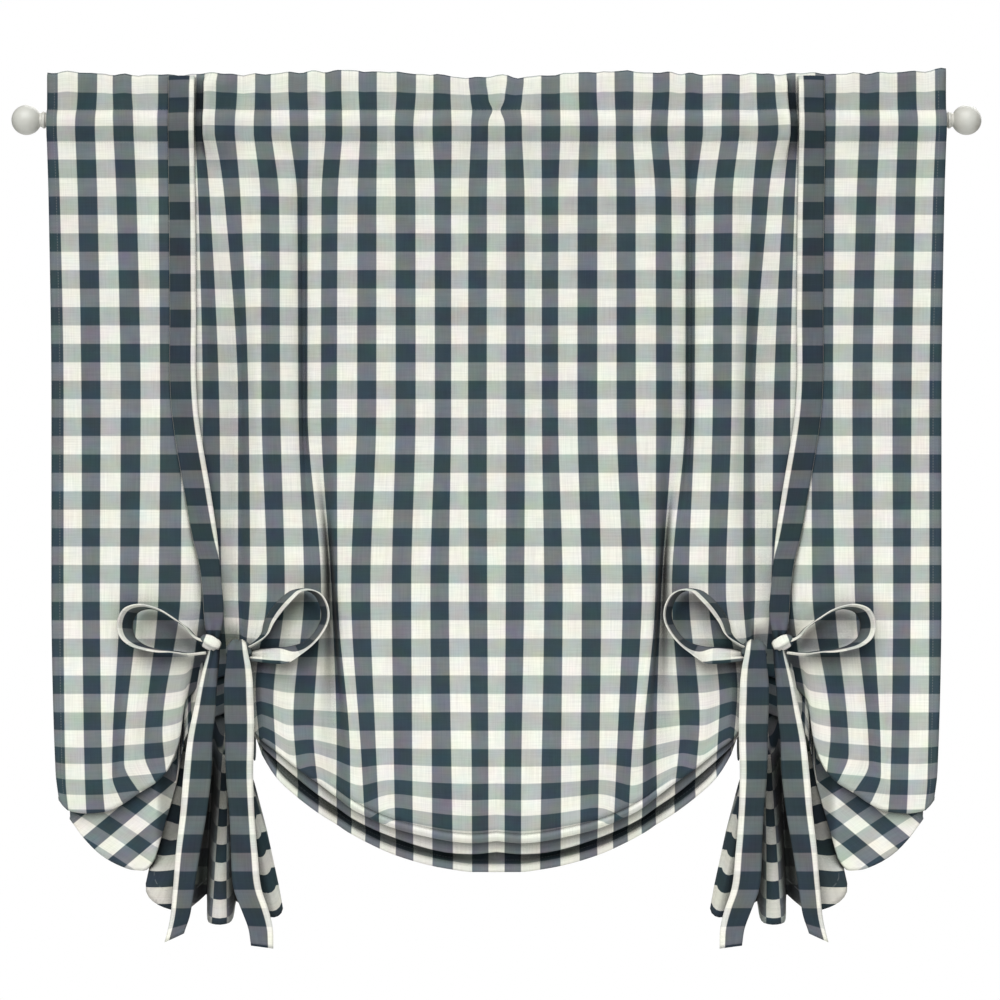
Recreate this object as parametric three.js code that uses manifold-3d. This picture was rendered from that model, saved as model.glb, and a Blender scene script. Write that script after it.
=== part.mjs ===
// Tie-up shade on a curtain rod.
// Millimetres, +Z up, +X to the right, the front of the shade faces -Y.
// The origin lies on the rod's axis at its mid-length.

import * as THREE from "three";
import Module from "manifold-3d";

// Rod and ball ends
const ROD_DIAMETER = 19;
const ROD_HALF_LENGTH = 586;
const SEAT_GAP = 0.3;
const BALL_DIAMETER = 39;
const BALL_CENTRE = 611;
const NECK_DIAMETER = 22;
const NECK_WAIST = 17;
const NECK_LENGTH = 4;
const BALL_RINGS = 9;
const ROUND_STEPS = 24;

// Cloth
const CLOTH_THICKNESS = 2;
const TIE_THICKNESS = 2;
const TIE_WIDTH = 34;
const FRONT_Y = -6;

// Header above the rod: height of its top edge, and its soft waves
const HEADER_TOP = 60;
const HEADER_SEAM = 12;
const HEADER_TURN = 8;
const HEADER_WAVE_DEPTH = 2.5;
const HEADER_WAVE_LENGTH = 86;
const HEADER_CREST = 2.5;
const HEADER_CREST_LENGTH = 190;
const STRAP_ACROSS = 409;
const STRAP_CALM = 45;

// The cloth's run over the rod, from the end of the turned-down back to the front:
// distance out from the rod's axis (- is the front) and height
const POCKET = [
  { out: 2.4, height: -31 },
  { out: 11.4, height: -10 },
  { out: 12.0, height: 5 },
  { out: 2.0, height: HEADER_SEAM },
  { out: 2.0, height: HEADER_TOP - HEADER_TURN },
  { out: 0.0, height: HEADER_TOP },
  { out: -2.0, height: HEADER_TOP - HEADER_TURN },
  { out: -2.0, height: HEADER_SEAM },
  { out: -12.0, height: 5 },
  { out: -11.4, height: -10 },
];

// Depths below the rod at which the hanging front is given
const HEADING_DROP = 20;
const MID_DROP = 374;
const BOW_DROP = 611;
const LOW_RISE = 65;
const FRONT_DROPS = [31, 110, 240, 374, 500, 611];
const FRONT_SHARES = [0.35, 0.7];
const LOW_DEPTH_SHARE = 0.6;
const FOLD_DEPTH_SHARE = 0.3;

// One row for each line of the cloth that runs down from the rod. flat is its place on the flat
// cloth, measured from the centre line. top, mid, bow and low are how far across it hangs at four
// depths. f1, f2 and f3 are the lower folds, the third one being the hem, each with its drop.
// The d columns are how far back the cloth lies at the top, the middle and the bow, and gap is
// the distance from one folded layer to the next.
const STATION_COLUMNS = [
  "flat", "top", "mid", "bow", "low",
  "f1", "f1Drop", "f2", "f2Drop", "f3", "f3Drop",
  "dTop", "dMid", "dBow", "gap",
];
const STATIONS = [
  [0, 0, 0, 0, 0, 0, 946, 0, 962, 0, 979, 0, 0, 0, 8],
  [37.5, 33, 37, 36, 32, 32, 944, 32, 960, 32, 978, 0, 3, 4, 8],
  [62.5, 58, 59, 62, 58, 57, 941, 57, 956, 57, 975, 0, 6, 7, 8],
  [87.5, 83, 80, 86, 84, 84, 936, 84, 950, 84, 970, 0, 1, 1, 8],
  [137.5, 132, 131, 136, 133, 132, 924, 132, 938, 132, 958, 0, 0, 0, 8],
  [187.5, 177, 181, 189, 175, 172, 910, 172, 922, 172, 941, -1, -2, -3, 8],
  [212.5, 200, 207, 206, 190, 190, 904, 190, 913, 190, 933, 0, -2, -4, 8],
  [237.5, 222, 228, 215, 206, 209, 896, 209, 904, 209, 923, 0, 8, 6, 8],
  [262.5, 244, 244, 223, 228, 232, 880, 232, 890, 232, 909, 0, 26, 26, 8],
  [287.5, 268, 259, 250, 255, 258, 859, 258, 868, 258, 889, 0, 14, 16, 7],
  [312.5, 292, 281, 275, 283, 284, 832, 284, 841, 284, 861, 0, 2, 5, 6],
  [337.5, 315, 305, 298, 305, 305, 809, 305, 816, 302, 828, -1, -5, 0, 5],
  [362.5, 339, 322, 320, 322, 322, 775, 320, 785, 320, 794, -1, 8, 8, 4.5],
  [387.5, 362, 337, 337, 339, 341, 731, 340, 759, 339, 780, -4, 24, 22, 4.5],
  [412.5, 380, 361, 358, 365, 371, 723, 367, 770, 367, 793, -7, 15, 14, 4.5],
  [437.5, 391, 382, 384, 392, 400, 764, 396, 816, 396, 835, 0, 4, 7, 5],
  [450, 402, 395, 396, 410, 411, 824, 408, 892, 408, 884, 0, 1, 3, 5.5],
  [462.5, 414, 409, 410, 431, 427, 846, 421, 940, 417, 926, 0, 0, 1, 6],
  [487.5, 440, 437, 439, 455, 444, 862, 437, 965, 437, 946, 0, 0, 0, 8],
  [512.5, 471, 462, 465, 482, 465, 875, 456, 978, 457, 958, 0, 0, 0, 9],
  [537.5, 497, 488, 489, 499, 487, 890, 476, 977, 478, 957, 0, 0, 0, 9],
  [562.5, 521, 514, 515, 512, 510, 900, 496, 970, 496, 950, 0, 0, 0, 9],
  [587.5, 547, 539, 538, 535, 534, 902, 518, 956, 517, 937, 0, 0, 0, 8],
  [612.5, 570, 562, 562, 560, 557, 898, 540, 933, 538, 916, 0, 0, 0, 8],
  [628.5, 584, 578, 578, 573, 569, 884, 556, 910, 552, 897, 0, 0, 0, 8],
];

// How far back the front's lower edge rolls, by its place on the flat cloth, and how far above
// that edge the roll begins
const ROLL_COLUMNS = ["flat", "depth"];
const ROLL = [
  [0, 28],
  [187.5, 28],
  [287.5, 17],
  [362.5, 6],
  [412.5, 4],
  [487.5, 14],
  [562.5, 16],
  [628.5, 8],
];
const ROLL_REACH = 131;

// The gathered hem that falls below each bow: one row for each edge, crest or hollow of its pleats
const FAN_COLUMNS = ["flat", "hem", "hemDrop", "back"];
const FAN = [
  [364.5, 333, 815, 2],
  [367.5, 311, 880, 4],
  [373, 279, 1026, 2],
  [380, 292, 1036, -8],
  [388, 310, 1034, -4],
  [396, 328, 1020, 16],
  [404, 344, 1036, -4],
  [413, 362, 1044, -9],
  [421, 378, 1035, -2],
  [428, 387, 1013, 14],
  [436, 409, 1030, -10],
  [445, 440, 1020, -8],
  [453, 457, 1000, 0],
];
const FAN_NECK_ACROSS = 359;
const FAN_NECK_PINCH = 0.55;
const FAN_NECK_DROP = 780;
const FAN_FLARE = 1.15;

// Pleats folded up behind the front
const PLEAT_RISE = 130;
const TIED_RISE = 105;
const TIED_FROM = 362.5;
const TIED_TO = 455;
const HEM_LAYER = 4;
const HEM_SHARES = [0.34, 0.56, 0.78, 1];

// Front tie from the header, down the face of the panel, to the bow
const STRAP_PATH = [
  { across: 409, out: -4.6, height: 57, width: TIE_WIDTH },
  { across: 409, out: -4.6, height: 13.4, width: TIE_WIDTH },
  { across: 409, out: -14.7, height: 6.3, width: TIE_WIDTH },
  { across: 409, out: -14, height: -10.5, width: TIE_WIDTH },
  { across: 409, out: -8.8, height: -31.3, width: TIE_WIDTH },
  { across: 408, out: -8.8, height: -110, width: TIE_WIDTH },
  { across: 407, out: -8.8, height: -240, width: TIE_WIDTH },
  { across: 405, out: -8.8, height: -374, width: TIE_WIDTH },
  { across: 388, out: -8.8, height: -490, width: TIE_WIDTH },
  { across: 374, out: -8.8, height: -560, width: TIE_WIDTH },
  { across: 371, out: -9.5, height: -640, width: TIE_WIDTH },
  { across: 369, out: -14, height: -678, width: 16 },
];

// Back tie from the header, behind the panel, under the raised cloth and up to the bow
const BACK_PATH = [
  { across: 409, out: 4.6, height: 50, width: TIE_WIDTH },
  { across: 409, out: 4.6, height: 13.4, width: TIE_WIDTH },
  { across: 409, out: 14.7, height: 6.3, width: TIE_WIDTH },
  { across: 409, out: 14, height: -10.6, width: TIE_WIDTH },
  { across: 409, out: 5.2, height: -33, width: TIE_WIDTH },
  { across: 408, out: 2, height: -110, width: TIE_WIDTH },
  { across: 406, out: 3, height: -338, width: TIE_WIDTH },
  { across: 396, out: 14, height: -482, width: TIE_WIDTH },
  { across: 370, out: 38, height: -590, width: TIE_WIDTH },
  { across: 340, out: 42, height: -690, width: 24 },
  { across: 322, out: 36, height: -780, width: 10 },
  { across: 319, out: 22, height: -822, width: 9 },
  { across: 319, out: 5, height: -830, width: 9 },
  { across: 319, out: -11, height: -821, width: 9 },
  { across: 320, out: -14, height: -790, width: 10 },
  { across: 323, out: -15, height: -750, width: 14 },
  { across: 331, out: -17, height: -706, width: 18 },
];

// Bow: the two halves of its knot, its loops and its tails. turn is the angle in degrees from
// a ribbon seen edge-on to one that shows its inner face.
const KNOT_OUT = -18;
const FRONT_KNOT = { across: 369, height: -681, wide: 16, deep: 9, tall: 14 };
const BACK_KNOT = { across: 333, height: -696, wide: 18, deep: 9.5, tall: 19 };
const KNOT_AROUND = 14;
const KNOT_RINGS = 8;
const LOOP_STEPS = 18;
const LOOP_OUT = -27;
const LOOP_ROOT_WIDTH = 10;
const LOOP_WIDTH = 32;
const LOOP_OPENING = 4;
const OUTER_LOOP = [
  { across: 372, height: -679, turn: 0 },
  { across: 405, height: -658, turn: 8 },
  { across: 431, height: -636, turn: 16 },
  { across: 453, height: -628, turn: 28 },
  { across: 471, height: -636, turn: 40 },
  { across: 479, height: -653, turn: 46 },
  { across: 475, height: -671, turn: 40 },
  { across: 453, height: -684, turn: 22 },
  { across: 418, height: -689, turn: 8 },
  { across: 375, height: -689, turn: 0 },
];
const INNER_LOOP = [
  { across: 326, height: -690, turn: 0 },
  { across: 305, height: -676, turn: 6 },
  { across: 284, height: -644, turn: 14 },
  { across: 268, height: -624, turn: 24 },
  { across: 252, height: -616, turn: 36 },
  { across: 235, height: -629, turn: 52 },
  { across: 232, height: -656, turn: 56 },
  { across: 239, height: -680, turn: 46 },
  { across: 258, height: -694, turn: 26 },
  { across: 292, height: -698, turn: 8 },
  { across: 326, height: -699, turn: 0 },
];
const OUTER_TAIL = [
  { across: 370, height: -686, out: -17, width: 12 },
  { across: 371, height: -716, out: -16, width: 12 },
  { across: 375, height: -741, out: -15, width: 18 },
  { across: 379, height: -764, out: -15, width: 29 },
  { across: 384, height: -801, out: -15, width: 32 },
  { across: 388, height: -852, out: -16, width: 36 },
  { across: 393, height: -901, out: -16, width: 34 },
  { across: 400, height: -950, out: -16, width: 31 },
  { across: 406, height: -1001, out: -15, width: 27 },
  { across: 411, height: -1037, out: -13, width: 25 },
  { across: 418, height: -1062, out: -12, width: 25 },
];
const INNER_TAIL = [
  { across: 333, height: -699, out: -19, width: 26 },
  { across: 333, height: -718, out: -20, width: 34 },
  { across: 334, height: -741, out: -20, width: 38 },
  { across: 333, height: -780, out: -19, width: 38 },
  { across: 333, height: -852, out: -18, width: 35 },
  { across: 330, height: -901, out: -18, width: 32 },
  { across: 327, height: -950, out: -17, width: 34 },
  { across: 322, height: -1001, out: -16, width: 36 },
  { across: 313, height: -1026, out: -15, width: 35 },
  { across: 306, height: -1050, out: -14, width: 32 },
  { across: 304, height: -1074, out: -13, width: 29 },
];
const TAIL_STEPS = 10;
const TAIL_SLANT = 5;

const wasm = await Module();
wasm.setup();

const named = (columns, rows) =>
  rows.map((row) => Object.fromEntries(columns.map((key, i) => [key, row[i]])));
const stations = named(STATION_COLUMNS, STATIONS);
const fanRows = named(FAN_COLUMNS, FAN);
const rollRows = named(ROLL_COLUMNS, ROLL);
const mix = (a, b, share) => a + (b - a) * share;

// A smooth curve through points, without overshoot between them
function through(xs, ys) {
  const last = xs.length - 1;
  const chord = (i) => (ys[i + 1] - ys[i]) / (xs[i + 1] - xs[i]);
  const slope = (i) => {
    if (i === 0) return chord(0);
    if (i === last) return chord(last - 1);
    const before = chord(i - 1);
    const after = chord(i);
    return before * after <= 0 ? 0 : (2 * before * after) / (before + after);
  };
  return (x) => {
    let i = 0;
    while (i < last - 1 && x > xs[i + 1]) i += 1;
    const width = xs[i + 1] - xs[i];
    const t = Math.min(Math.max((x - xs[i]) / width, 0), 1);
    const rise = t * t * (3 - 2 * t);
    const bend = width * t * (1 - t);
    return (
      mix(ys[i], ys[i + 1], rise) +
      bend * ((1 - t) * slope(i) - t * slope(i + 1))
    );
  };
}

const flats = stations.map((row) => row.flat);
const stationCurves = Object.fromEntries(
  STATION_COLUMNS.map((key) => [
    key,
    through(
      flats,
      stations.map((row) => row[key]),
    ),
  ]),
);

const rollDepth = through(
  rollRows.map((row) => row.flat),
  rollRows.map((row) => row.depth),
);

// A line of the cloth at a flat distance from the centre line
function lineAt(flat) {
  const line = Object.fromEntries(
    STATION_COLUMNS.map((key) => [key, stationCurves[key](flat)]),
  );
  const drops = [
    HEADING_DROP,
    MID_DROP,
    BOW_DROP,
    line.f1Drop - LOW_RISE,
    line.f1Drop,
  ];
  line.across = through(drops, [
    line.top,
    line.mid,
    line.bow,
    line.low,
    line.f1,
  ]);
  line.back = through(drops, [
    line.dTop,
    line.dMid,
    line.dBow,
    line.dBow * LOW_DEPTH_SHARE,
    line.dBow * FOLD_DEPTH_SHARE,
  ]);
  line.roll = rollDepth(flat);
  line.fan = fanRows.find((row) => row.flat === flat);
  const tied = flat >= TIED_FROM && flat <= TIED_TO;
  line.rise = tied ? TIED_RISE : PLEAT_RISE;
  return line;
}

// How far the header's soft waves push the cloth back at a place across it
function headerWave(across, height) {
  const share = Math.max(0, (height - HEADER_SEAM) / (HEADER_TOP - HEADER_SEAM));
  const off = (Math.abs(across) - STRAP_ACROSS) / STRAP_CALM;
  const calm = 1 - Math.exp(-off * off);
  const turn = (2 * Math.PI * across) / HEADER_WAVE_LENGTH;
  return HEADER_WAVE_DEPTH * share * calm * Math.sin(turn);
}

// How far the header's upper edge rises and dips along its length
function headerCrest(across, height) {
  if (height <= HEADER_SEAM) return 0;
  return HEADER_CREST * Math.cos((2 * Math.PI * across) / HEADER_CREST_LENGTH);
}

// One line of the cloth in space, from the turned-down back over the rod to the hem
function sectionOf(line, side) {
  const points = [];
  const put = (across, y, drop) =>
    points.push(new THREE.Vector3(side * across, y, -drop));
  for (const { out, height } of POCKET) {
    const across = line.across(-height);
    const forward = out < 0 ? Math.min(line.dTop, 0) : 0;
    const wave = headerWave(side * across, height);
    put(across, out + forward + wave, -height - headerCrest(side * across, height));
  }
  const sheetY = (drop) => {
    const above = Math.max(0, line.f1Drop - drop);
    const rolled = Math.max(0, 1 - above / ROLL_REACH);
    return FRONT_Y + line.back(line.f1Drop - above) + line.roll * rolled * rolled;
  };
  const radius = line.gap / 2;
  for (const drop of FRONT_DROPS) put(line.across(drop), sheetY(drop), drop);
  for (const share of FRONT_SHARES) {
    const drop = mix(BOW_DROP, line.f1Drop - radius, share);
    put(line.across(drop), sheetY(drop), drop);
  }
  // A fold from one layer to the next; way is 1 where it points down and -1 where it points up
  const fold = (across, drop, layer, way) => {
    const y = sheetY(drop) + layer * line.gap;
    put(across, y, drop - way * radius);
    put(across, y + radius, drop);
    put(across, y + line.gap, drop - way * radius);
  };
  const halfway = (a, aDrop, b, bDrop, layer) => {
    const drop = (aDrop + bDrop) / 2;
    put((a + b) / 2, sheetY(drop) + layer * line.gap, drop);
  };
  const t1 = (line.f1 + line.f2) / 2;
  const t1Drop = line.f1Drop - line.rise;
  const t2Drop = line.f2Drop - line.rise;
  fold(line.f1, line.f1Drop, 0, 1);
  halfway(line.f1, line.f1Drop, t1, t1Drop, 1);
  fold(t1, t1Drop, 1, -1);
  halfway(t1, t1Drop, line.f2, line.f2Drop, 2);
  fold(line.f2, line.f2Drop, 2, 1);
  halfway(line.f2, line.f2Drop, line.f2, t2Drop, 3);
  fold(line.f2, t2Drop, 3, -1);
  for (const share of HEM_SHARES) {
    const hemDrop = line.fan ? line.fan.hemDrop : line.f3Drop;
    const drop = mix(t2Drop, hemDrop, share);
    let across = mix(line.f2, line.f3, share);
    let y = sheetY(drop) + HEM_LAYER * line.gap;
    if (line.fan) {
      const neck = mix(FAN_NECK_ACROSS, line.f2, FAN_NECK_PINCH);
      const below = Math.max(0, drop - FAN_NECK_DROP);
      const open = below / Math.max(hemDrop - FAN_NECK_DROP, 1);
      across = mix(neck, line.fan.hem, open ** FAN_FLARE);
      y += line.fan.back * open;
    }
    put(across, y, drop);
  }
  return points;
}

// A closed solid from rows of points, each row a line along the sheet
function thickSheet(rows, thickness) {
  const across = rows.length;
  const along = rows[0].length;
  const clampTo = (value, size) => Math.min(Math.max(value, 0), size - 1);
  const pick = (i, j) => rows[clampTo(i, across)][clampTo(j, along)];
  const positions = [];
  for (const sign of [1, -1])
    for (let i = 0; i < across; i += 1)
      for (let j = 0; j < along; j += 1) {
        const wide = pick(i + 1, j).clone().sub(pick(i - 1, j));
        const long = pick(i, j + 1).clone().sub(pick(i, j - 1));
        const normal = wide.cross(long).normalize();
        const point = pick(i, j).clone().addScaledVector(normal, (sign * thickness) / 2);
        positions.push(point.x, point.y, point.z);
      }
  const indices = [];
  const quad = (a, b, c, d) => indices.push(a, b, c, a, c, d);
  const upper = (i, j) => i * along + j;
  const lower = (i, j) => across * along + i * along + j;
  for (let i = 0; i + 1 < across; i += 1)
    for (let j = 0; j + 1 < along; j += 1) {
      quad(upper(i, j), upper(i + 1, j), upper(i + 1, j + 1), upper(i, j + 1));
      quad(lower(i, j), lower(i, j + 1), lower(i + 1, j + 1), lower(i + 1, j));
    }
  const rim = [];
  for (let i = 0; i < across; i += 1) rim.push([i, 0]);
  for (let j = 1; j < along; j += 1) rim.push([across - 1, j]);
  for (let i = across - 2; i >= 0; i -= 1) rim.push([i, along - 1]);
  for (let j = along - 2; j > 0; j -= 1) rim.push([0, j]);
  rim.forEach(([i, j], k) => {
    const [m, n] = rim[(k + 1) % rim.length];
    quad(upper(m, n), upper(i, j), lower(i, j), lower(m, n));
  });
  const geometry = new THREE.BufferGeometry();
  geometry.setAttribute("position", new THREE.Float32BufferAttribute(positions, 3));
  geometry.setIndex(indices);
  return geometry;
}

// Panel
const LINE_SPACING = 51;
const lineFlats = new Set(fanRows.map((row) => row.flat));
flats.forEach((flat, i) => {
  const tied = flat > TIED_FROM && flat < TIED_TO;
  if (!tied) lineFlats.add(flat);
  const next = flats[i + 1];
  if (next - flat > LINE_SPACING) lineFlats.add((flat + next) / 2);
});
const halfFlats = [...lineFlats].sort((a, b) => a - b);
const panelRows = [
  ...halfFlats
    .slice(1)
    .reverse()
    .map((flat) => sectionOf(lineAt(flat), -1)),
  ...halfFlats.map((flat) => sectionOf(lineAt(flat), 1)),
];

// Ribbons
function ribbon(spots) {
  const rows = [-0.5, 0.5].map((edge) =>
    spots.map(({ at, lay, width, slant = 0 }) => {
      const point = at.clone().addScaledVector(lay, edge * width);
      point.z += edge * slant;
      return point;
    }),
  );
  return thickSheet(rows, TIE_THICKNESS);
}

const RIGHT = new THREE.Vector3(1, 0, 0);
const spot = ({ across, out, height }) => new THREE.Vector3(-across, out, height);

const strap = (path) =>
  ribbon(path.map((row) => ({ at: spot(row), lay: RIGHT, width: row.width })));

function knot({ across, height, wide, deep, tall }) {
  const geometry = new THREE.SphereGeometry(1, KNOT_AROUND, KNOT_RINGS);
  geometry.scale(wide, deep, tall);
  geometry.translate(-across, KNOT_OUT, height);
  return geometry;
}

// A loop of the bow; outward is the way its ribbon turns its inner face, -1 or 1 along X
function loop(path, outward) {
  const curve = new THREE.CatmullRomCurve3(
    path.map(({ across, height }) => new THREE.Vector3(-across, 0, height)),
  );
  const shares = path.map((_, i) => i / (path.length - 1));
  const turnAt = through(
    shares,
    path.map((row) => THREE.MathUtils.degToRad(row.turn)),
  );
  const spots = [];
  for (let i = 0; i <= LOOP_STEPS; i += 1) {
    const t = i / LOOP_STEPS;
    const open = Math.min(1, LOOP_OPENING * Math.min(t, 1 - t));
    const at = curve.getPoint(t);
    at.y = mix(KNOT_OUT, LOOP_OUT, open);
    const lay = new THREE.Vector3(outward * Math.sin(turnAt(t)), -Math.cos(turnAt(t)), 0);
    spots.push({ at, lay, width: mix(LOOP_ROOT_WIDTH, LOOP_WIDTH, open) });
  }
  return ribbon(spots);
}

function tail(path, slant) {
  const curve = new THREE.CatmullRomCurve3(path.map(spot));
  const shares = path.map((_, i) => i / (path.length - 1));
  const widthAt = through(
    shares,
    path.map((row) => row.width),
  );
  const spots = [];
  for (let i = 0; i <= TAIL_STEPS; i += 1) {
    const t = i / TAIL_STEPS;
    spots.push({
      at: curve.getPoint(t),
      lay: RIGHT,
      width: widthAt(t),
      slant: i === TAIL_STEPS ? slant : 0,
    });
  }
  return ribbon(spots);
}

// Joining and mirroring
function solidOf(geometry) {
  const found = new Map();
  const points = [];
  const position = geometry.getAttribute("position");
  const remap = [];
  for (let i = 0; i < position.count; i += 1) {
    const xyz = [position.getX(i), position.getY(i), position.getZ(i)];
    const key = xyz.map((value) => Math.round(value * 1e4)).join(",");
    if (!found.has(key)) {
      found.set(key, points.length / 3);
      points.push(...xyz);
    }
    remap.push(found.get(key));
  }
  const corners = [...geometry.getIndex().array].map((i) => remap[i]);
  const kept = [];
  for (let i = 0; i < corners.length; i += 3) {
    const [a, b, c] = corners.slice(i, i + 3);
    if (a !== b && b !== c && c !== a) kept.push(a, b, c);
  }
  return new wasm.Manifold(
    new wasm.Mesh({
      numProp: 3,
      vertProperties: new Float32Array(points),
      triVerts: new Uint32Array(kept),
    }),
  );
}

function fused(geometries) {
  const [first, ...rest] = geometries.map(solidOf);
  const whole = rest.reduce((sum, piece) => sum.add(piece), first);
  const mesh = whole.getMesh();
  const geometry = new THREE.BufferGeometry();
  geometry.setAttribute(
    "position",
    new THREE.Float32BufferAttribute(mesh.vertProperties, mesh.numProp),
  );
  geometry.setIndex([...mesh.triVerts]);
  return geometry;
}

function mirrored(geometry) {
  const copy = geometry.clone();
  copy.scale(-1, 1, 1);
  const index = [...copy.getIndex().array];
  for (let i = 0; i < index.length; i += 3)
    [index[i + 1], index[i + 2]] = [index[i + 2], index[i + 1]];
  copy.setIndex(index);
  return copy;
}

// Rod and ball ends
function rodGeometry() {
  const radius = ROD_DIAMETER / 2;
  return new THREE.CylinderGeometry(radius, radius, 2 * ROD_HALF_LENGTH, ROUND_STEPS).rotateZ(
    Math.PI / 2,
  );
}

function finialGeometry(side) {
  const start = ROD_HALF_LENGTH + SEAT_GAP;
  const ball = BALL_DIAMETER / 2;
  const waist = NECK_WAIST / 2;
  const reach = Math.sqrt(ball * ball - waist * waist);
  const profile = [
    new THREE.Vector2(0, start),
    new THREE.Vector2(NECK_DIAMETER / 2, start),
    new THREE.Vector2(NECK_DIAMETER / 2, start + NECK_LENGTH),
    new THREE.Vector2(waist, BALL_CENTRE - reach),
  ];
  const from = Math.acos(-reach / ball);
  for (let i = 1; i < BALL_RINGS; i += 1) {
    const angle = from * (1 - i / BALL_RINGS);
    profile.push(new THREE.Vector2(ball * Math.sin(angle), BALL_CENTRE + ball * Math.cos(angle)));
  }
  profile.push(new THREE.Vector2(0, BALL_CENTRE + ball));
  return new THREE.LatheGeometry(profile, ROUND_STEPS).rotateZ((-side * Math.PI) / 2);
}

// Materials
const WOOD = new THREE.MeshStandardMaterial({ color: "#e9e7e1", roughness: 0.4, metalness: 0 });
const CHECK = new THREE.MeshStandardMaterial({ color: "#7b8488", roughness: 0.9, metalness: 0 });

const group = new THREE.Group();
function place(name, geometry, material) {
  const mesh = new THREE.Mesh(geometry, material);
  mesh.name = name;
  group.add(mesh);
}

place("rod", rodGeometry(), WOOD);
place("finial_left", finialGeometry(-1), WOOD);
place("finial_right", finialGeometry(1), WOOD);
place("panel", thickSheet(panelRows, CLOTH_THICKNESS), CHECK);
const frontTie = fused([
  knot(FRONT_KNOT),
  strap(STRAP_PATH),
  loop(OUTER_LOOP, -1),
  tail(OUTER_TAIL, TAIL_SLANT),
]);
const backTie = fused([
  knot(BACK_KNOT),
  strap(BACK_PATH),
  loop(INNER_LOOP, 1),
  tail(INNER_TAIL, -TAIL_SLANT),
]);
place("tie_front_left", frontTie, CHECK);
place("tie_front_right", mirrored(frontTie), CHECK);
place("tie_back_left", backTie, CHECK);
place("tie_back_right", mirrored(backTie), CHECK);

export default group;
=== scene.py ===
import math

import bpy
import numpy as np
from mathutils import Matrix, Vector


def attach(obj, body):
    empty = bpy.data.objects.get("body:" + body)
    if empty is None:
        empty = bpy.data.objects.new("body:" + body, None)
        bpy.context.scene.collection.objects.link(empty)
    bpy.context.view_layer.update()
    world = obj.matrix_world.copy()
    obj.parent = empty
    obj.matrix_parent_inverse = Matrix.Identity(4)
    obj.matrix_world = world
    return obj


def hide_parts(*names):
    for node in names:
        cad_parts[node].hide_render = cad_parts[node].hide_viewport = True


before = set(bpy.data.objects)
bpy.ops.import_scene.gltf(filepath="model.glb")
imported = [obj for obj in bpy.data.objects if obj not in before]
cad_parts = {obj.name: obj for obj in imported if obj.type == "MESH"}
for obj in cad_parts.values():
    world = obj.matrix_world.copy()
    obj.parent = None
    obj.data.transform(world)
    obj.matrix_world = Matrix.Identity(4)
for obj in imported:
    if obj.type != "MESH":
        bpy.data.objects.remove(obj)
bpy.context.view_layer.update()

bl_info = {
    "name": "Tie-up shade",
    "version": (1, 0, 0),
    "blender": (4, 5, 0),
    "location": "View3D > Sidebar > Shade",
    "description": "Dresses a checked tie-up shade and the curtain rod that carries it",
    "category": "Object",
}

MM = 0.001
BODY = "root"

# The cloth, in millimetres. The origin lies on the rod's axis at its mid-length.
FRONT_Y = -6
ROD_SEAT = 586
HEADER_TOP = 60
HEADER_SEAM = 12
POCKET_SEAM = -30
HEADING_DROP = 20
HEADER_EASE = 4
HIGH_DROP = 104
MID_DROP = 374
BOW_DROP = 611
LOW_RISE = 65
EAR_LOW_RISE = 38
LOW_DEPTH_SHARE = 0.6
FOLD_DEPTH_SHARE = 0.3
HALF_FLAT = 628.5
PLEAT_RISE = 130
TIED_RISE = 105
TIED_FROM = 362.5
TIED_TO = 462.5
HEM_LAYER = 4
HEM_LIP = 13
FAR_FROM_HEM = 1000.0
HEM_LIP_RISE = (14, 9)
ROLL_REACH = 131
ROLL_SPACING = 1.7
# Share of the way from the top to the middle of the cloth's place and depth at HIGH_DROP, away
# from a front tie and beside it
HIGH_SHARE = (0.88, 0.4)
HIGH_DEPTH_SHARE = (0.7, 0.2)
# Hems are this much thicker than the cloth, and end over these distances from its edges
HEM_EXTRA = 0.8
SIDE_HEM = (11.5, 13)
LOW_HEM = (22, 24)

# The cloth's run over the rod, from the end of the turned-down back to the front:
# distance out from the rod's axis (- is the front) and height
HEADING = (
    (2.4, -33), (6.5, -26), (11.2, -10), (11.6, 3), (7.5, 9.6), (2.6, 13), (1.9, 22), (1.9, 50),
    (1.4, 58), (0, 60), (-1.4, 58), (-1.9, 50), (-1.9, 22), (-2.6, 13), (-7.5, 9.6), (-11.6, 3),
    (-11.4, -8), (-8.6, -22), (-6, -31),
)

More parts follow.
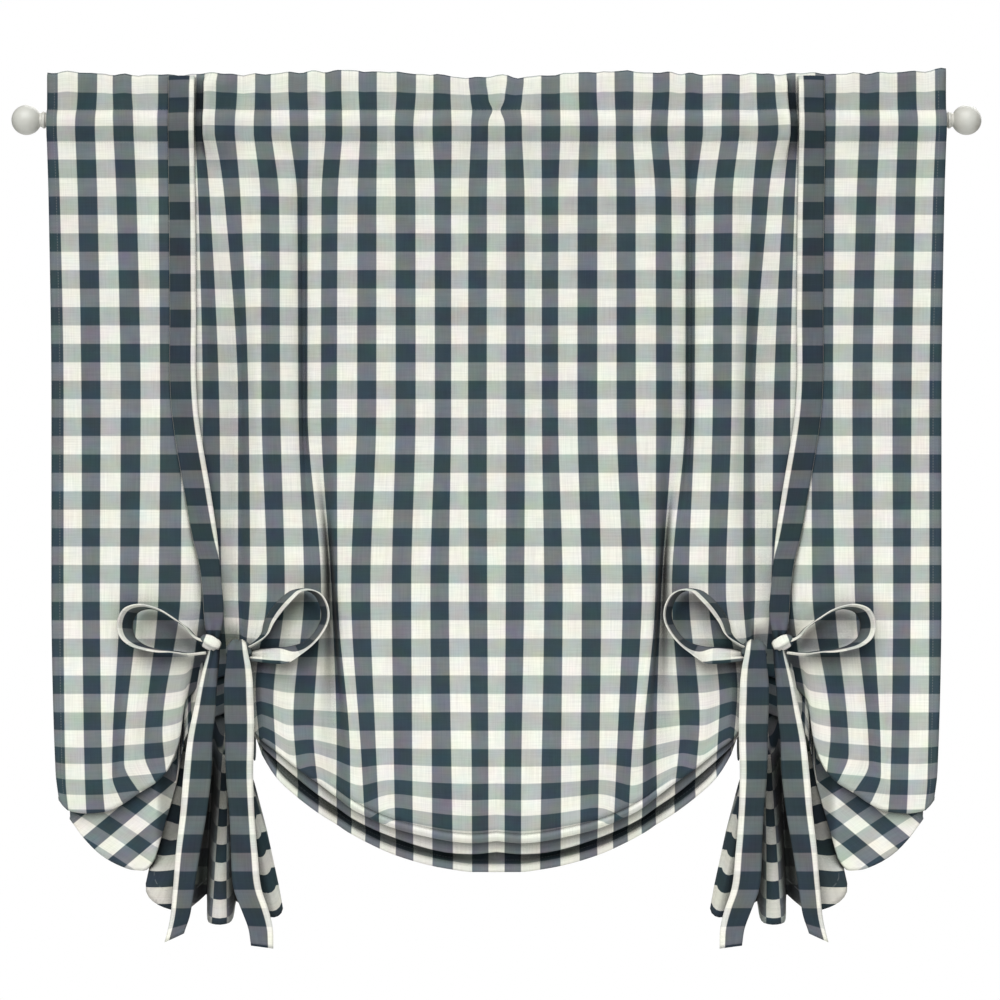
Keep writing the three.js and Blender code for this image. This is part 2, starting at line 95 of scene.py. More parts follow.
# One row for each line of the cloth that runs down from the rod. flat is its place on the flat
# cloth from the centre line; top, mid, bow and low are how far across it hangs at four depths;
# f1, f2 and f3 are the lower folds, the third being the hem, each with its drop; the d columns
# are how far back the cloth lies at the top, middle and bow; gap parts one layer from the next.
STATION_COLUMNS = (
    "flat", "top", "mid", "bow", "low", "f1", "f1_drop", "f2", "f2_drop", "f3", "f3_drop",
    "d_top", "d_mid", "d_bow", "gap",
)
STATIONS = (
    (0, 0, 0, 0, 0, 0, 938, 0, 954, 0, 981, 0, 0, 0, 11),
    (37.5, 33, 37, 36, 32, 32, 941, 32, 957, 32, 981, 0, 3, 4, 11),
    (62.5, 58, 59, 62, 58, 57, 939, 57, 956, 57, 978, 0, 6, 7, 11),
    (87.5, 83, 80, 86, 84, 84, 934, 84, 951, 84, 973, 0, 1, 1, 11),
    (137.5, 132, 131, 136, 133, 132, 922, 132, 936, 132, 959, 0, 0, 0, 11),
    (187.5, 177, 181, 189, 175, 172, 905, 172, 919, 172, 941, -1, -2, -3, 11),
    (212.5, 200, 207, 206, 190, 190, 895, 190, 909, 190, 931, 0, -2, -4, 10.5),
    (237.5, 222, 228, 215, 208, 209, 881, 209, 896, 209, 919, 0, 6, 21, 10),
    (262.5, 244, 245.5, 228, 238, 233, 862, 233, 879, 233, 903, 0, 12, 3, 9),
    (275, 256, 251.5, 239, 251, 246.5, 853, 246.5, 868.5, 246.5, 893, 0, 20, 2, 8.5),
    (287.5, 268, 258, 250, 264, 260, 843, 260, 857, 260, 882, 0, 11, 1, 8),
    (312.5, 292, 281, 275, 290, 287, 821, 287, 833, 287, 856, 0, 2, 2, 6),
    (337.5, 315, 305, 298, 313, 309, 803, 309, 811, 306, 826, -1, -5, 0, 5),
    (362.5, 339, 322, 320, 326, 325, 775, 323, 785, 322, 794, -1, 8, 8, 4.5),
    (387.5, 364, 337, 337, 335, 334, 731, 334, 759, 334, 780, 0, 24, 22, 4.5),
    (412.5, 380, 361, 358, 354, 351, 723, 351, 770, 351, 793, 0, 15, 14, 4.5),
    (437.5, 391, 382, 384, 392, 403, 752, 404, 800, 404, 812, 0, 4, 7, 5),
    (450, 402, 395, 396, 410, 414, 812, 420, 868, 424, 862, 0, 1, 3, 5.5),
    (462.5, 414, 409, 410, 434, 430, 848, 433, 914, 437, 902, 0, 0, 1, 6),
    (487.5, 440, 437, 439, 458, 444, 862, 448, 966, 448, 946, 0, 0, 0, 8),
    (512.5, 471, 462, 465, 484, 465, 875, 461, 978, 461, 958, 0, 0, 0, 9),
    (537.5, 497, 488, 489, 500, 487, 890, 476, 977, 478, 957, 0, 0, 0, 9),
    (562.5, 521, 514, 515, 512, 510, 900, 496, 970, 496, 950, 0, 0, 0, 9),
    (587.5, 547, 539, 538, 535, 534, 902, 518, 956, 517, 937, 0, 0, 0, 8),
    (612.5, 570, 562, 562, 560, 557, 898, 540, 933, 538, 916, 0, 0, 0, 8),
    (628.5, 584, 578, 578, 573, 569, 884, 556, 910, 552, 897, 0, 0, 0, 8),
)

# How far back the front's lower edge rolls: place on the flat cloth, depth
ROLL = (
    (0, 16), (187.5, 16), (287.5, 12), (362.5, 6), (412.5, 4), (487.5, 14), (562.5, 16), (628.5, 8),
)

# The gathered hem that falls below each bow: one row for each edge, crest or hollow of its
# pleats. turn is how far across the cloth the check lies there from the middle pleat's crest.
FAN_COLUMNS = ("flat", "hem_across", "hem_drop", "hem_back", "turn")
FAN = (
    (364.5, 333, 815, 2, -68), (367.5, 311, 880, 4, -64), (373, 279, 1026, 2, -59),
    (380, 290, 1038, -8, -50), (388, 314, 1034, 6, -39), (396, 342, 1020, 36, -27),
    (404, 345, 1040, 8, -21), (408, 349, 1045, -8, -16), (413, 361, 1047, -12, 0),
    (418, 373, 1045, -8, 16), (422, 377, 1040, 8, 21), (429, 380, 1010, 36, 27),
    (436, 409, 1030, -4, 37), (445, 440, 1022, -10, 50), (453, 458, 1000, 0, 60),
)
FAN_FROM = 364.5
FAN_TO = 453
FAN_NECK_ACROSS = 359
FAN_NECK_PINCH = 0.55
FAN_NECK_DROP = 780
FAN_FLARE = 1.15
FAN_SIDE_FLARE = 2.2
FAN_LIGHT = 400
FAN_EVEN_DROP = 1028
FAN_MIDDLE = 413
# Repeats of the check by which the hem beside the fan ends sooner than the fan's own
INNER_REPEATS = 5
OUTER_REPEATS = 3
ROW_REPEAT = 47.85

# How far the header's upper edge rises or dips along its length: across, rise
CREST = (
    (-586, 1), (-560, 2), (-500, -1), (-430, -2), (-380, 0), (-320, -1), (-250, 2), (-190, 4),
    (-130, 1), (-70, -2), (-24, -6), (0, -2), (26, -5), (80, -1), (150, 3), (220, 1), (290, -1),
    (360, 0), (430, 0), (500, 1), (560, 4), (586, 6),
)

# Where the check falls along the cloth: at the swag's edge (place on the flat cloth, length), at
# the second fold and at the hem
EDGE = (
    (0, 957), (125, 957), (200, 902), (255, 902), (300, 854), (325, 854), (350, 806), (364, 790),
)
FOLD_LENGTH_AT = 1250
HEM_LENGTH_AT = 1496
SWAG_HEM_LENGTH_AT = 1475
ROLL_EXTRA = 18

EAR_DARK = (505, 919, 575, 64 + 24 * ROW_REPEAT)
EAR_TURN_U = (-0.745, -0.887)
EAR_TURN_V = (-0.645, 0.985)

# Spans over which a shape sets in or dies out. IN and OUT go by the flat cloth, FROM and TO by the
# drop, UP by the height above the rod and ALONG by the share of a layer's length.
TIED_IN = (TIED_FROM - 30, TIED_FROM)
TIED_OUT = (TIED_TO, TIED_TO + 25)
HIGH_IN = (338, 362)
EAR_LOW_IN = (437, 487)
SWAG_OUT = (300, 350)
EDGE_OUT = (345, 364)
FOLDS_FROM = (31, 120)
FOLDS_FOOT = (0, 40)
HEM_LIP_OUT = (300, 345)
FAN_IN = (TIED_FROM, FAN_FROM)
FAN_OUT = (FAN_TO, TIED_TO)
FAN_SIDE_IN = (429, 442)
GATHERED_ALONG = (0, 0.3)
EAR_TURN_IN = (437, 450)
EAR_TURN_ALONG = (0.08, 0.3)
GATHERS_FROM = (-34, 0)
HEADER_EASE_UP = (-31, -8)
HEADER_LEAN_UP = (34, 58)

# The ear's layers are drawn back beside the bow, and the cloth between the tails under it
DRAWN_DEPTH = 30
DRAWN_IN = (436, 446)
DRAWN_OUT = (450, 484)
DRAWN_FROM = (770, 840)
DRAWN_FAN_TO = (915, 990)
UNDER_DEPTH = 28
UNDER_IN = (376, 392)
UNDER_OUT = (426, 440)
UNDER_FROM = (650, 705)
UNDER_TO = (850, 985)

# The tuck at the rod pocket beside each front tie, and the pinch at the header's middle
TUCK_DEPTH = 20
TUCK_LEAN = 0.08
TUCK_IN = (350, 408)
TUCK_OUT = (409, 413.5)
TUCK_FROM = (-59, -46)
TUCK_TO = (20, 60)
PINCH_WIDTH = 20
PINCH_HEIGHT = 10
PINCH_DEPTH = 2.4
PINCH_DRAW = 0.72
SPREAD_WIDTH = 26
SPREAD_DRAW = 0.3
SPREAD_UP = (30, 56)

# Ripples across the cloth: depth, length of a radian, a slower sway of it and the sway's length,
# and where the ripple starts
GATHER_DEPTH = 2.0
GATHERS = ((GATHER_DEPTH, 8.5, 1.4, 33, 0), (0.7 * GATHER_DEPTH, 14.3, 0, 1, 2))
GATHER_DROP = 25
GATHER_FADE = 95
HEADER_WAVES = ((2.3, 86 / math.tau, 0.9, 130, 0), (1.15, 37 / math.tau, 0, 1, 1.7))
FRINGE = ((1.0, 7.7, 2, 41, 0), (0.7, 4.3, 0, 1, 0))
SWAYS = ((2.2, 31, 1.3, 87, 0), (1.32, 17, 0, 1, 2))
SWAY_CALM = 45
SWAY_SIDE = (540, 576)
SWAY_UP = (-14, 44)
# The front ties press the ripples flat: their middle line (drop, across) and its reach
STRAP_ACROSS = 409
STRAP_CALM = 45
STRAP_MIDDLE = ((0, 409), (374, 405), (490, 388), (560, 374), (640, 371))
STRAP_REACH = 26
# Slow uneven hang of the cloth: depth, and the lengths across and down of its two ripples
HANG_DEPTH = 0.9
HANG_ACROSS = (61, 240)
HANG_DOWN = (410, 170)
# Creases that run to the bows: depth, length of a radian, then start, middle and spread on the
# flat cloth
BOW_CREASES = (2.0, 5.2, 300, 330, 55)
BOW_CREASE_FROM = (560, 700)
BOW_CREASE_TO = (800, 860)
EAR_CREASES = (3.2, 6.6, 470, 505, 48)
EAR_CREASE_FROM = (610, 760)
# The crease along the swag's foot
FOOT_DEPTH = 5
FOOT_RISE = 12
FOOT_WIDTH = 2.4
FOOT_OUT = (180, 290)

# Lines of the cloth from its centre to the ear, each part from, to and how many, and the ear's own
LINES = (
    (0, 49, 7), (49, 212.5, 15), (212.5, 312.5, 18), (312.5, TIED_FROM, 6),
    (TIED_FROM, TIED_TO, 46),
)
EAR_LINES = 24
# Points along one line of the cloth
HEADING_POINTS = 50
FRONT_POINTS = 50
ROLL_POINTS = 22
FOLD_POINTS = 6
LAYER_POINTS = 6
HEM_POINTS = 40

# Front tie, down the face of the panel to the bow: across, distance out, height, width
STRAP_PATH = (
    (409, -4.4, 57, 34), (409, -4.4, 36, 34), (409, -4.5, 20, 34), (409, -5.4, 15, 34),
    (409, -9.2, 11.4, 34), (409, -13.8, 3.6, 34), (409, -13.6, -8.5, 34), (409, -10.8, -22.6, 34),
    (409, -8.7, -33, 34), (409, -8.5, -60, 34), (408, -8.5, -110, 34), (407, -8.6, -240, 34),
    (405, -8.8, -374, 34), (387, -8.8, -490, 34), (378, -8.8, -545, 32), (373, -8.8, -575, 27),
    (369.5, -8.8, -604, 25.5), (367, -9.5, -640, 26), (368, -14, -678, 16),
)
# Back tie, behind the panel, under the raised cloth and up to the bow: the same columns
BACK_PATH = (
    (409, 4.6, 50, 34), (409, 4.6, 13.4, 34), (409, 14.7, 6.3, 34), (409, 14, -10.6, 34),
    (409, 5.2, -33, 34), (408, 2, -110, 34), (406, 3, -338, 34), (396, 14, -482, 34),
    (370, 42, -590, 34), (340, 54, -690, 24), (322, 44, -780, 10), (319, 24, -822, 9),
    (319, 5, -830, 9), (319, -11, -821, 9), (320, -14, -790, 10), (323, -15, -750, 14),
    (331, -17, -706, 18),
)
# The two halves of the knot: across, height, half width, half depth, half height, tilt in degrees
KNOT_OUT = -18
FRONT_KNOT = (371, -679, 15, 9, 9, 20)
BACK_KNOT = (334, -691, 17, 8, 15, 0)
KNOT_FULLNESS = 0.8
# A half's creases: how often they come along it and around it, their sway and where they start
KNOT_CREASE = 0.13
FRONT_KNOT_CREASES = (2.2, 5, 0, 0.5)
BACK_KNOT_CREASES = (7.5, 0, 0.9, 0.6)
# Where the check falls on each half: flat places of its middle, and how far it spreads
FRONT_KNOT_CHECK = (-3, 94, 17)
BACK_KNOT_CHECK = (25, 50, 9)
# The bow's loops: across, height, then the angles in degrees by which the ribbon turns from
# edge-on to show its inner face, and by which its front edge lifts
LOOP_OUT = -27
LOOP_ROOT_WIDTH = 10
LOOP_LIFTED_WIDTH = 8
LOOP_WIDTH = 32
LOOP_OPENING = 4
LOOP_SLIDE_ALONG = (0.72, 0.85)
LOOP_CAMBER = 1.2
LOOP_CREASE = 1.6
OUTER_LOOP = (
    (372, -679, 0, 0), (390, -672, 8, 8), (400, -660, 12, 12), (416, -648, 17, 14),
    (428, -640, 21, 14), (443, -634, 26, 13), (453, -632, 29, 12), (464, -633, 32, 10),
    (473, -637, 33, 8), (479, -646, 33, 6), (481, -659, 33, 4), (477, -672, 32, 2),
    (465, -682, 29, 0), (450, -687, 24, 0), (435, -690, 18, 0), (417, -691, 12, 0),
    (400, -694, 6, 0), (376, -692, 0, 0),
)
INNER_LOOP = (
    (328, -688, 6, 0), (316, -682, 15, 0), (300, -668, 26, 0), (294, -652, 30, 0),
    (286, -639, 31, 0), (268, -619, 30, 0), (261, -613, 27, 0), (249, -610, 24, 0),
    (233, -615, 21, 0), (224, -628, 20, 0), (222, -648, 20, 0), (229, -664, 20, 0),
    (241, -678, 18, -6), (257, -688, 15, -20), (270, -694, 9, -40), (290, -695, 5, -58),
    (308, -695, 0, -58), (326, -696, 0, -40),
)
# Where a light row of the check crosses each loop
OUTER_LOOP_LIGHT = (464, -633)
INNER_LOOP_LIGHT = (296, -657)
LIGHT_ROW_MIDDLE = 88
INNER_LOOP_SLIDE = 22
# The bow's tails: across, height, distance out, width
OUTER_TAIL = (
    (366, -684, -17, 14), (368, -700, -18, 17), (371, -716, -18, 20), (375, -741, -17, 24),
    (378, -764, -16, 28), (384, -801, -15, 32), (388, -852, -16, 36), (393, -901, -16, 34),
    (400, -950, -16, 31), (406, -1001, -15, 27), (411, -1037, -13, 25), (418, -1062, -12, 25),
)
INNER_TAIL = (
    (335, -688, -12, 16), (335, -676, -20, 18), (335, -680, -28, 22), (335, -692, -30, 27),
    (334, -708, -28, 32), (334, -724, -24, 36), (334, -748, -21, 38), (333, -784, -19, 38),
    (333, -852, -18, 35), (330, -901, -18, 32), (327, -950, -17, 34), (322, -1001, -16, 36),
    (313, -1026, -15, 35), (306, -1050, -14, 32), (304, -1074, -13, 29),
)
OUTER_SLANT = 14
INNER_SLANT = -4
SLANT_WIDTH = 30
SLANT_ALONG = (0.9, 1)
TAIL_FULL_WIDTH = 36
TAIL_CAMBER = -1.4
TAIL_WAVE = 1.6
TAIL_WAVE_TURNS = 7
TAIL_CREASE = 2.6
TAIL_CREASE_ALONG = (0.2, 0.4)
# A strap's inner edge stands off the rod pocket between these heights
STRAP_LIFT = 10
STRAP_LIFT_UP = (-62, -22)
STRAP_LIFT_END_UP = (40, 57)
STRAP_CAMBER = -0.8
STRAP_CREASE = 3.2
STRAP_TIGHT = (0.25, 0.6)
TIE_WIDTH = 34
TIE_NARROW = 26
TIE_LAYERS = 1.3
TIE_CROSS_POINTS = 11
STRAP_POINTS = 120
LOOP_POINTS = 72
TAIL_POINTS = 60
KNOT_RINGS = 28
KNOT_AROUND = 40
# Where the check falls on each part of a tie
STRAP_EDGE_U = 37.5
STRAP_SHOWN = 0.91
TAIL_SHOWN = 30
STRAP_ROW_DROP = 60.5
STRAP_ROW_EASE = 1.027
DARK_ROW_START = 52
TAIL_BAND_DROP = 843.7
DARK_ROW_MIDDLE = 64

# Rod and ball ends
ROD_RADIUS = 9.5
ROD_BEVEL = 0.8
SEAT_GAP = 0.3
NECK_RADIUS = 11
NECK_WAIST = 8.5
NECK_LENGTH = 4
NECK_ROUND = 1.2
NECK_STEP = 0.4
NECK_STEP_RADIUS = 0.35
BALL_RADIUS = 19.5
BALL_CENTRE = 611
BALL_RINGS = 40
LATHE_STEPS = 72

# Lights, floor and camera: where they stand, in metres or as a direction
KEY_SIDE = -0.12
BACK_LIGHT_FROM = (0.5, 1.0, 0.7)
BACK_LIGHT_SHARE = 0.6
LIGHT_SPREAD = math.radians(60)
FLOOR_HEIGHT = -1.5
FLOOR_RADIUS = 3.0
FLOOR_STEPS = 96
CAMERA_ACROSS = 0.00455
CAMERA_HEIGHT = -0.494

# The check's finish: softness of its squares' edges, spots to a metre of its slubs (across and
# along a thread), clouds and dye, and how much of each shows
CHECK_EDGE = 0.09
SLUB_SPOTS = (620, 22)
CLOUD_SPOTS = 9
DYE_SPOTS = 34
SLUB_SHARE = 0.30
CLOUD_SHARE = 0.16
EVEN_SHARE = 0.62
DYE_SHARE = 0.3
# Shade painted into the folds' colour: how closed a fold is where its painted shade is darkest, how
# dark that painted shade gets, and how much further it reaches where the hem is gathered
PAINTED_SHADE_CLOSED = 0.26
PAINTED_SHADE_DARKEST = 0.03
GATHERED_SHADE_REACH = 1.5
# How matt the cloth and its slubs are, and how high its threads, slubs and stitches stand
CLOTH_ROUGHNESS = 0.78
SLUB_ROUGHNESS = 0.16
WEAVE_RELIEF = 0.25
SLUB_RELIEF = 0.5
STITCH_RELIEF = 1.5
# Stitches, in metres: how far a row's soft edge and its full colour lie from its middle, from one
# stitch to the next, and how far in the rows at the sides and hem lie. STITCH_GAP is where along
# its wave a stitch sets in, and HEADER_STITCH is in millimetres above the header's seam.
STITCH_ROW = (0.0009, 0.0003)
STITCH_LENGTH = 0.0036
STITCH_GAP = (-0.7, -0.2)
SIDE_STITCH = 0.011
HEM_STITCH = 0.021
HEADER_STITCH = 9
STITCH_SHARE = 0.22
STITCH_COLOUR = (0.30, 0.32, 0.32, 1.0)
# The rod's paint: where and how it dulls, its grain, and the faint marks of turning with their
# wander; then the floor
DULL_PAINT = (0.50, 0.49, 0.44, 1.0)
DULL_FROM = (0.35, 0.75)
PAINT_SPOTS = 38
GRAIN_SPOTS = 420
GRAIN_ROUGHNESS = 0.2
GRAIN_RELIEF = 0.5
TURNING_MARKS = 2600
MARK_WANDER = 4
MARK_RELIEF = 0.15
FLOOR_SPOTS = 60
FLOOR_COLOURS = ((0.82, 0.82, 0.81, 1.0), (0.88, 0.88, 0.87, 1.0))


class ShadeCloth(bpy.types.PropertyGroup):
    """Sizes and colours of the checked cloth, and the shade painted into its folds"""

    repeat_across: bpy.props.FloatProperty(
        name="Repeat across",
        description="Width of one light and one dark column of the check",
        default=0.05, min=0.002, unit="LENGTH",
    )
    repeat_down: bpy.props.FloatProperty(
        name="Repeat down",
        description="Height of one light and one dark row of the check",
        default=0.04785, min=0.002, unit="LENGTH",
    )
    thickness: bpy.props.FloatProperty(
        name="Thickness",
        description="Thickness of a single layer of the cloth",
        default=0.0011, min=0.0002, unit="LENGTH",
    )
    thread: bpy.props.FloatProperty(
        name="Thread spacing",
        description="Distance from one thread of the weave to the next",
        default=0.0009, min=0.0001, unit="LENGTH",
    )
    # Painted shade: how near other cloth must lie for the colour to be darkened as if in shadow
    painted_shade_reach: bpy.props.FloatProperty(
        name="Fold reach",
        description="How close the cloth lies to itself where its colour deepens",
        default=0.036, min=0.001, unit="LENGTH",
    )
    # Painted shade: how open a fold is where its painted shade ends
    painted_shade_open: bpy.props.FloatProperty(
        name="Fold opening",
        description="How open a fold is where its colour is no longer deepened",
        default=0.86, min=0.4, max=1, subtype="FACTOR",
    )
    tie_depth: bpy.props.FloatProperty(
        name="Tie depth",
        description="Brightness of the dark columns on the ties, which are of doubled cloth",
        default=0.7, min=0, max=1, subtype="FACTOR",
    )
    tie_edge: bpy.props.FloatProperty(
        name="Tie edge",
        description="How far the light edge of the ties loses its darker rows",
        default=0.6, min=0, max=1, subtype="FACTOR",
    )
    # Painted shade: how much darker the gathered hem is painted, as if in its own shadow
    gathered_painted_shade: bpy.props.FloatProperty(
        name="Gathered depth",
        description="How much the colour deepens where the hem is gathered in many layers",
        default=0.26, min=0, max=1, subtype="FACTOR",
    )
    light: bpy.props.FloatVectorProperty(
        name="Light square",
        description="Colour where a light column crosses a light row",
        default=(0.715, 0.715, 0.645), size=3, min=0, max=1, subtype="COLOR",
    )
    row: bpy.props.FloatVectorProperty(
        name="Dark row",
        description="Colour where a light column crosses a dark row",
        default=(0.375, 0.405, 0.378), size=3, min=0, max=1, subtype="COLOR",
    )
    column: bpy.props.FloatVectorProperty(
        name="Dark column",
        description="Colour where a dark column crosses a light row",
        default=(0.143, 0.161, 0.172), size=3, min=0, max=1, subtype="COLOR",
    )
    dark: bpy.props.FloatVectorProperty(
        name="Dark square",
        description="Colour where a dark column crosses a dark row",
        default=(0.029, 0.049, 0.061), size=3, min=0, max=1, subtype="COLOR",
    )


class ShadeRod(bpy.types.PropertyGroup):
    """Finish of the curtain rod and its ball ends"""

    paint: bpy.props.FloatVectorProperty(
        name="Paint",
        description="Colour of the painted wood",
        default=(0.57, 0.575, 0.53), size=3, min=0, max=1, subtype="COLOR",
    )
    roughness: bpy.props.FloatProperty(
        name="Roughness",
        description="Roughness of the paint",
        default=0.42, min=0, max=1, subtype="FACTOR",
    )


class ShadeStage(bpy.types.PropertyGroup):
    """Camera, floor and lights"""

    distance: bpy.props.FloatProperty(
        name="Camera distance",
        description="Distance from the rod's plane to the camera",
        default=6.0, min=0.5, unit="LENGTH",
    )
    view_height: bpy.props.FloatProperty(
        name="View height",
        description="Height of the picture at the rod's plane",
        default=1.3, min=0.1, unit="LENGTH",
    )
    key: bpy.props.FloatProperty(
        name="Key light",
        description="Strength of the soft light in front of and above the shade",
        default=3.8, min=0,
    )
    height: bpy.props.FloatProperty(
        name="Key height",
        description="Angle of the soft light above the horizon",
        default=math.radians(40), subtype="ANGLE",
    )
    fill: bpy.props.FloatProperty(
        name="Surrounding light",
        description="Strength of the even light all round",
        default=0.06, min=0,
    )


def mix(a, b, share):
    return a + (b - a) * share


def ease(value, low, high):
    """0 below low, 1 above high and a soft step between."""
    share = np.clip((np.asarray(value, float) - low) / (high - low), 0, 1)
    return share * share * (3 - 2 * share)


def between(value, rise, fall):
    """0 before the span rise, 1 from it to the span fall and 0 after that."""
    return ease(value, *rise) * (1 - ease(value, *fall))


def hump(distance, width):
    """1 at no distance, and softly less on both sides."""
    return np.exp(-((distance / width) ** 2))


def ripples(rows, across):
    """The sum of a table's ripples at a place across the cloth."""
    return sum(
        depth * np.sin(across / length + sway * np.sin(across / sway_length) + start)
        for depth, length, sway, sway_length, start in rows
    )


def table(names, rows):
    return dict(zip(names, np.array(rows, float).T))


def circle(steps):
    """Angles of points evenly around a circle."""
    return np.linspace(0, math.tau, steps, endpoint=False)


def through(xs, ys):
    """A smooth curve through points, without overshoot between them."""
    xs = np.asarray(xs, float)
    ys = np.asarray(ys, float)
    chords = np.diff(ys) / np.diff(xs)
    before, after = chords[:-1], chords[1:]
    same_way = before * after > 0
    total = np.where(same_way, before + after, 1)
    inner = np.where(same_way, 2 * before * after / total, 0)
    slopes = np.concatenate([chords[:1], inner, chords[-1:]])

    def at(x):
        x = np.clip(x, xs[0], xs[-1])
        i = np.clip(np.searchsorted(xs, x, side="right") - 1, 0, len(xs) - 2)
        width = xs[i + 1] - xs[i]
        t = (x - xs[i]) / width
        rise = t * t * (3 - 2 * t)
        bend = width * t * (1 - t)
        return mix(ys[i], ys[i + 1], rise) + bend * ((1 - t) * slopes[i] - t * slopes[i + 1])

    return at


def lengths(points):
    """Distance along a row of points, from its first one."""
    steps = np.linalg.norm(np.diff(points, axis=0), axis=1)
    return np.concatenate([[0], np.cumsum(steps)])


def smooth_path(rows, count, place=2):
    """A rounded curve through rows, even along the length of their first place columns."""
    rows = np.asarray(rows, float)
    along = lengths(rows[:, :place])
    steps = np.diff(along)[:, None]
    chords = np.diff(rows, axis=0) / steps
    inner = (chords[:-1] * steps[1:] + chords[1:] * steps[:-1]) / (steps[1:] + steps[:-1])
    slopes = np.concatenate([chords[:1], inner, chords[-1:]])
    s = np.linspace(0, along[-1], count)
    i = np.clip(np.searchsorted(along, s, side="right") - 1, 0, len(rows) - 2)
    t = ((s - along[i]) / steps[i, 0])[:, None]
    rise = t * t * (3 - 2 * t)
    bend = steps[i] * t * (1 - t)
    return mix(rows[i], rows[i + 1], rise) + bend * ((1 - t) * slopes[i] - t * slopes[i + 1])


stations = table(STATION_COLUMNS, STATIONS)
fan = table(FAN_COLUMNS, FAN)
station_curves = {key: through(stations["flat"], stations[key]) for key in STATION_COLUMNS}
roll_depth = through(*np.transpose(ROLL))
crest_rise = through(*np.transpose(CREST))
edge_length = through(*np.transpose(EDGE))


def hem_curves():
    """The hem's place, drop and depth by the flat cloth, its fan below the bow included."""
    outside = (stations["flat"] <= TIED_FROM) | (stations["flat"] >= TIED_TO)
    plain = {key: stations[key][outside] for key in ("flat", "f3", "f3_drop")}
    flat = np.concatenate([plain["flat"], fan["flat"]])
    order = np.argsort(flat)
    columns = {
        "hem_across": plain["f3"], "hem_drop": plain["f3_drop"], "hem_back": 0 * plain["flat"],
    }
    return {
        key: through(flat[order], np.concatenate([value, fan[key]])[order])
        for key, value in columns.items()
    }


line_curves = {**station_curves, **hem_curves()}
hem_drop_at = line_curves["hem_drop"]
fan_turn = through(fan["flat"], fan["turn"])


def header_wave(across, height):
    """How far the header's soft waves push the cloth back."""
    share = np.maximum(0, (height - HEADER_SEAM) / (HEADER_TOP - HEADER_SEAM))
    calm = 1 - hump(np.abs(across) - STRAP_ACROSS, STRAP_CALM)
    return share * calm * ripples(HEADER_WAVES, across)


def strap_calm(across, drop):
    """0 under a front tie and 1 away from it."""
    middle = np.interp(drop, *np.transpose(STRAP_MIDDLE))
    return 1 - np.exp(-(((np.abs(across) - middle) / STRAP_REACH) ** 4))


def gathers(across, drop):
    """Small ripples that run down from the rod pocket and fade out below it."""
    fade = np.exp(-np.maximum(0, drop - GATHER_DROP) / GATHER_FADE)
    return fade * (ripples(GATHERS, across) - GATHER_DEPTH) * strap_calm(across, drop)


def header_tuck(flat, drop):
    """How far the cloth beside a front tie stands out at the rod pocket."""
    return TUCK_DEPTH * between(flat, TUCK_IN, TUCK_OUT) * between(drop, TUCK_FROM, TUCK_TO)


def header_sway(across, height):
    """How far the header's columns lean to the right above the rod."""
    fade = (1 - hump(across, SWAY_CALM)) * (1 - ease(np.abs(across), *SWAY_SIDE))
    return fade * ripples(SWAYS, across) * ease(height, *SWAY_UP)


def creases(flat, depth, length, start, middle, spread):
    """Narrow creases side by side on the flat cloth, deepest at its place middle."""
    return depth * hump(flat - middle, spread) * np.sin((flat - start) / length)


def soft_folds(across, flat, drop):
    """Broad uneven ripples of the hanging cloth, and creases that run to the bows."""
    slow = np.sin(across / HANG_ACROSS[0] + drop / HANG_DOWN[0])
    hang = HANG_DEPTH * slow * np.sin(drop / HANG_DOWN[1] + across / HANG_ACROSS[1])
    bow = creases(flat, *BOW_CREASES) * between(drop, BOW_CREASE_FROM, BOW_CREASE_TO)
    ear = creases(flat, *EAR_CREASES) * ease(drop, *EAR_CREASE_FROM)
    return hang + bow + ear


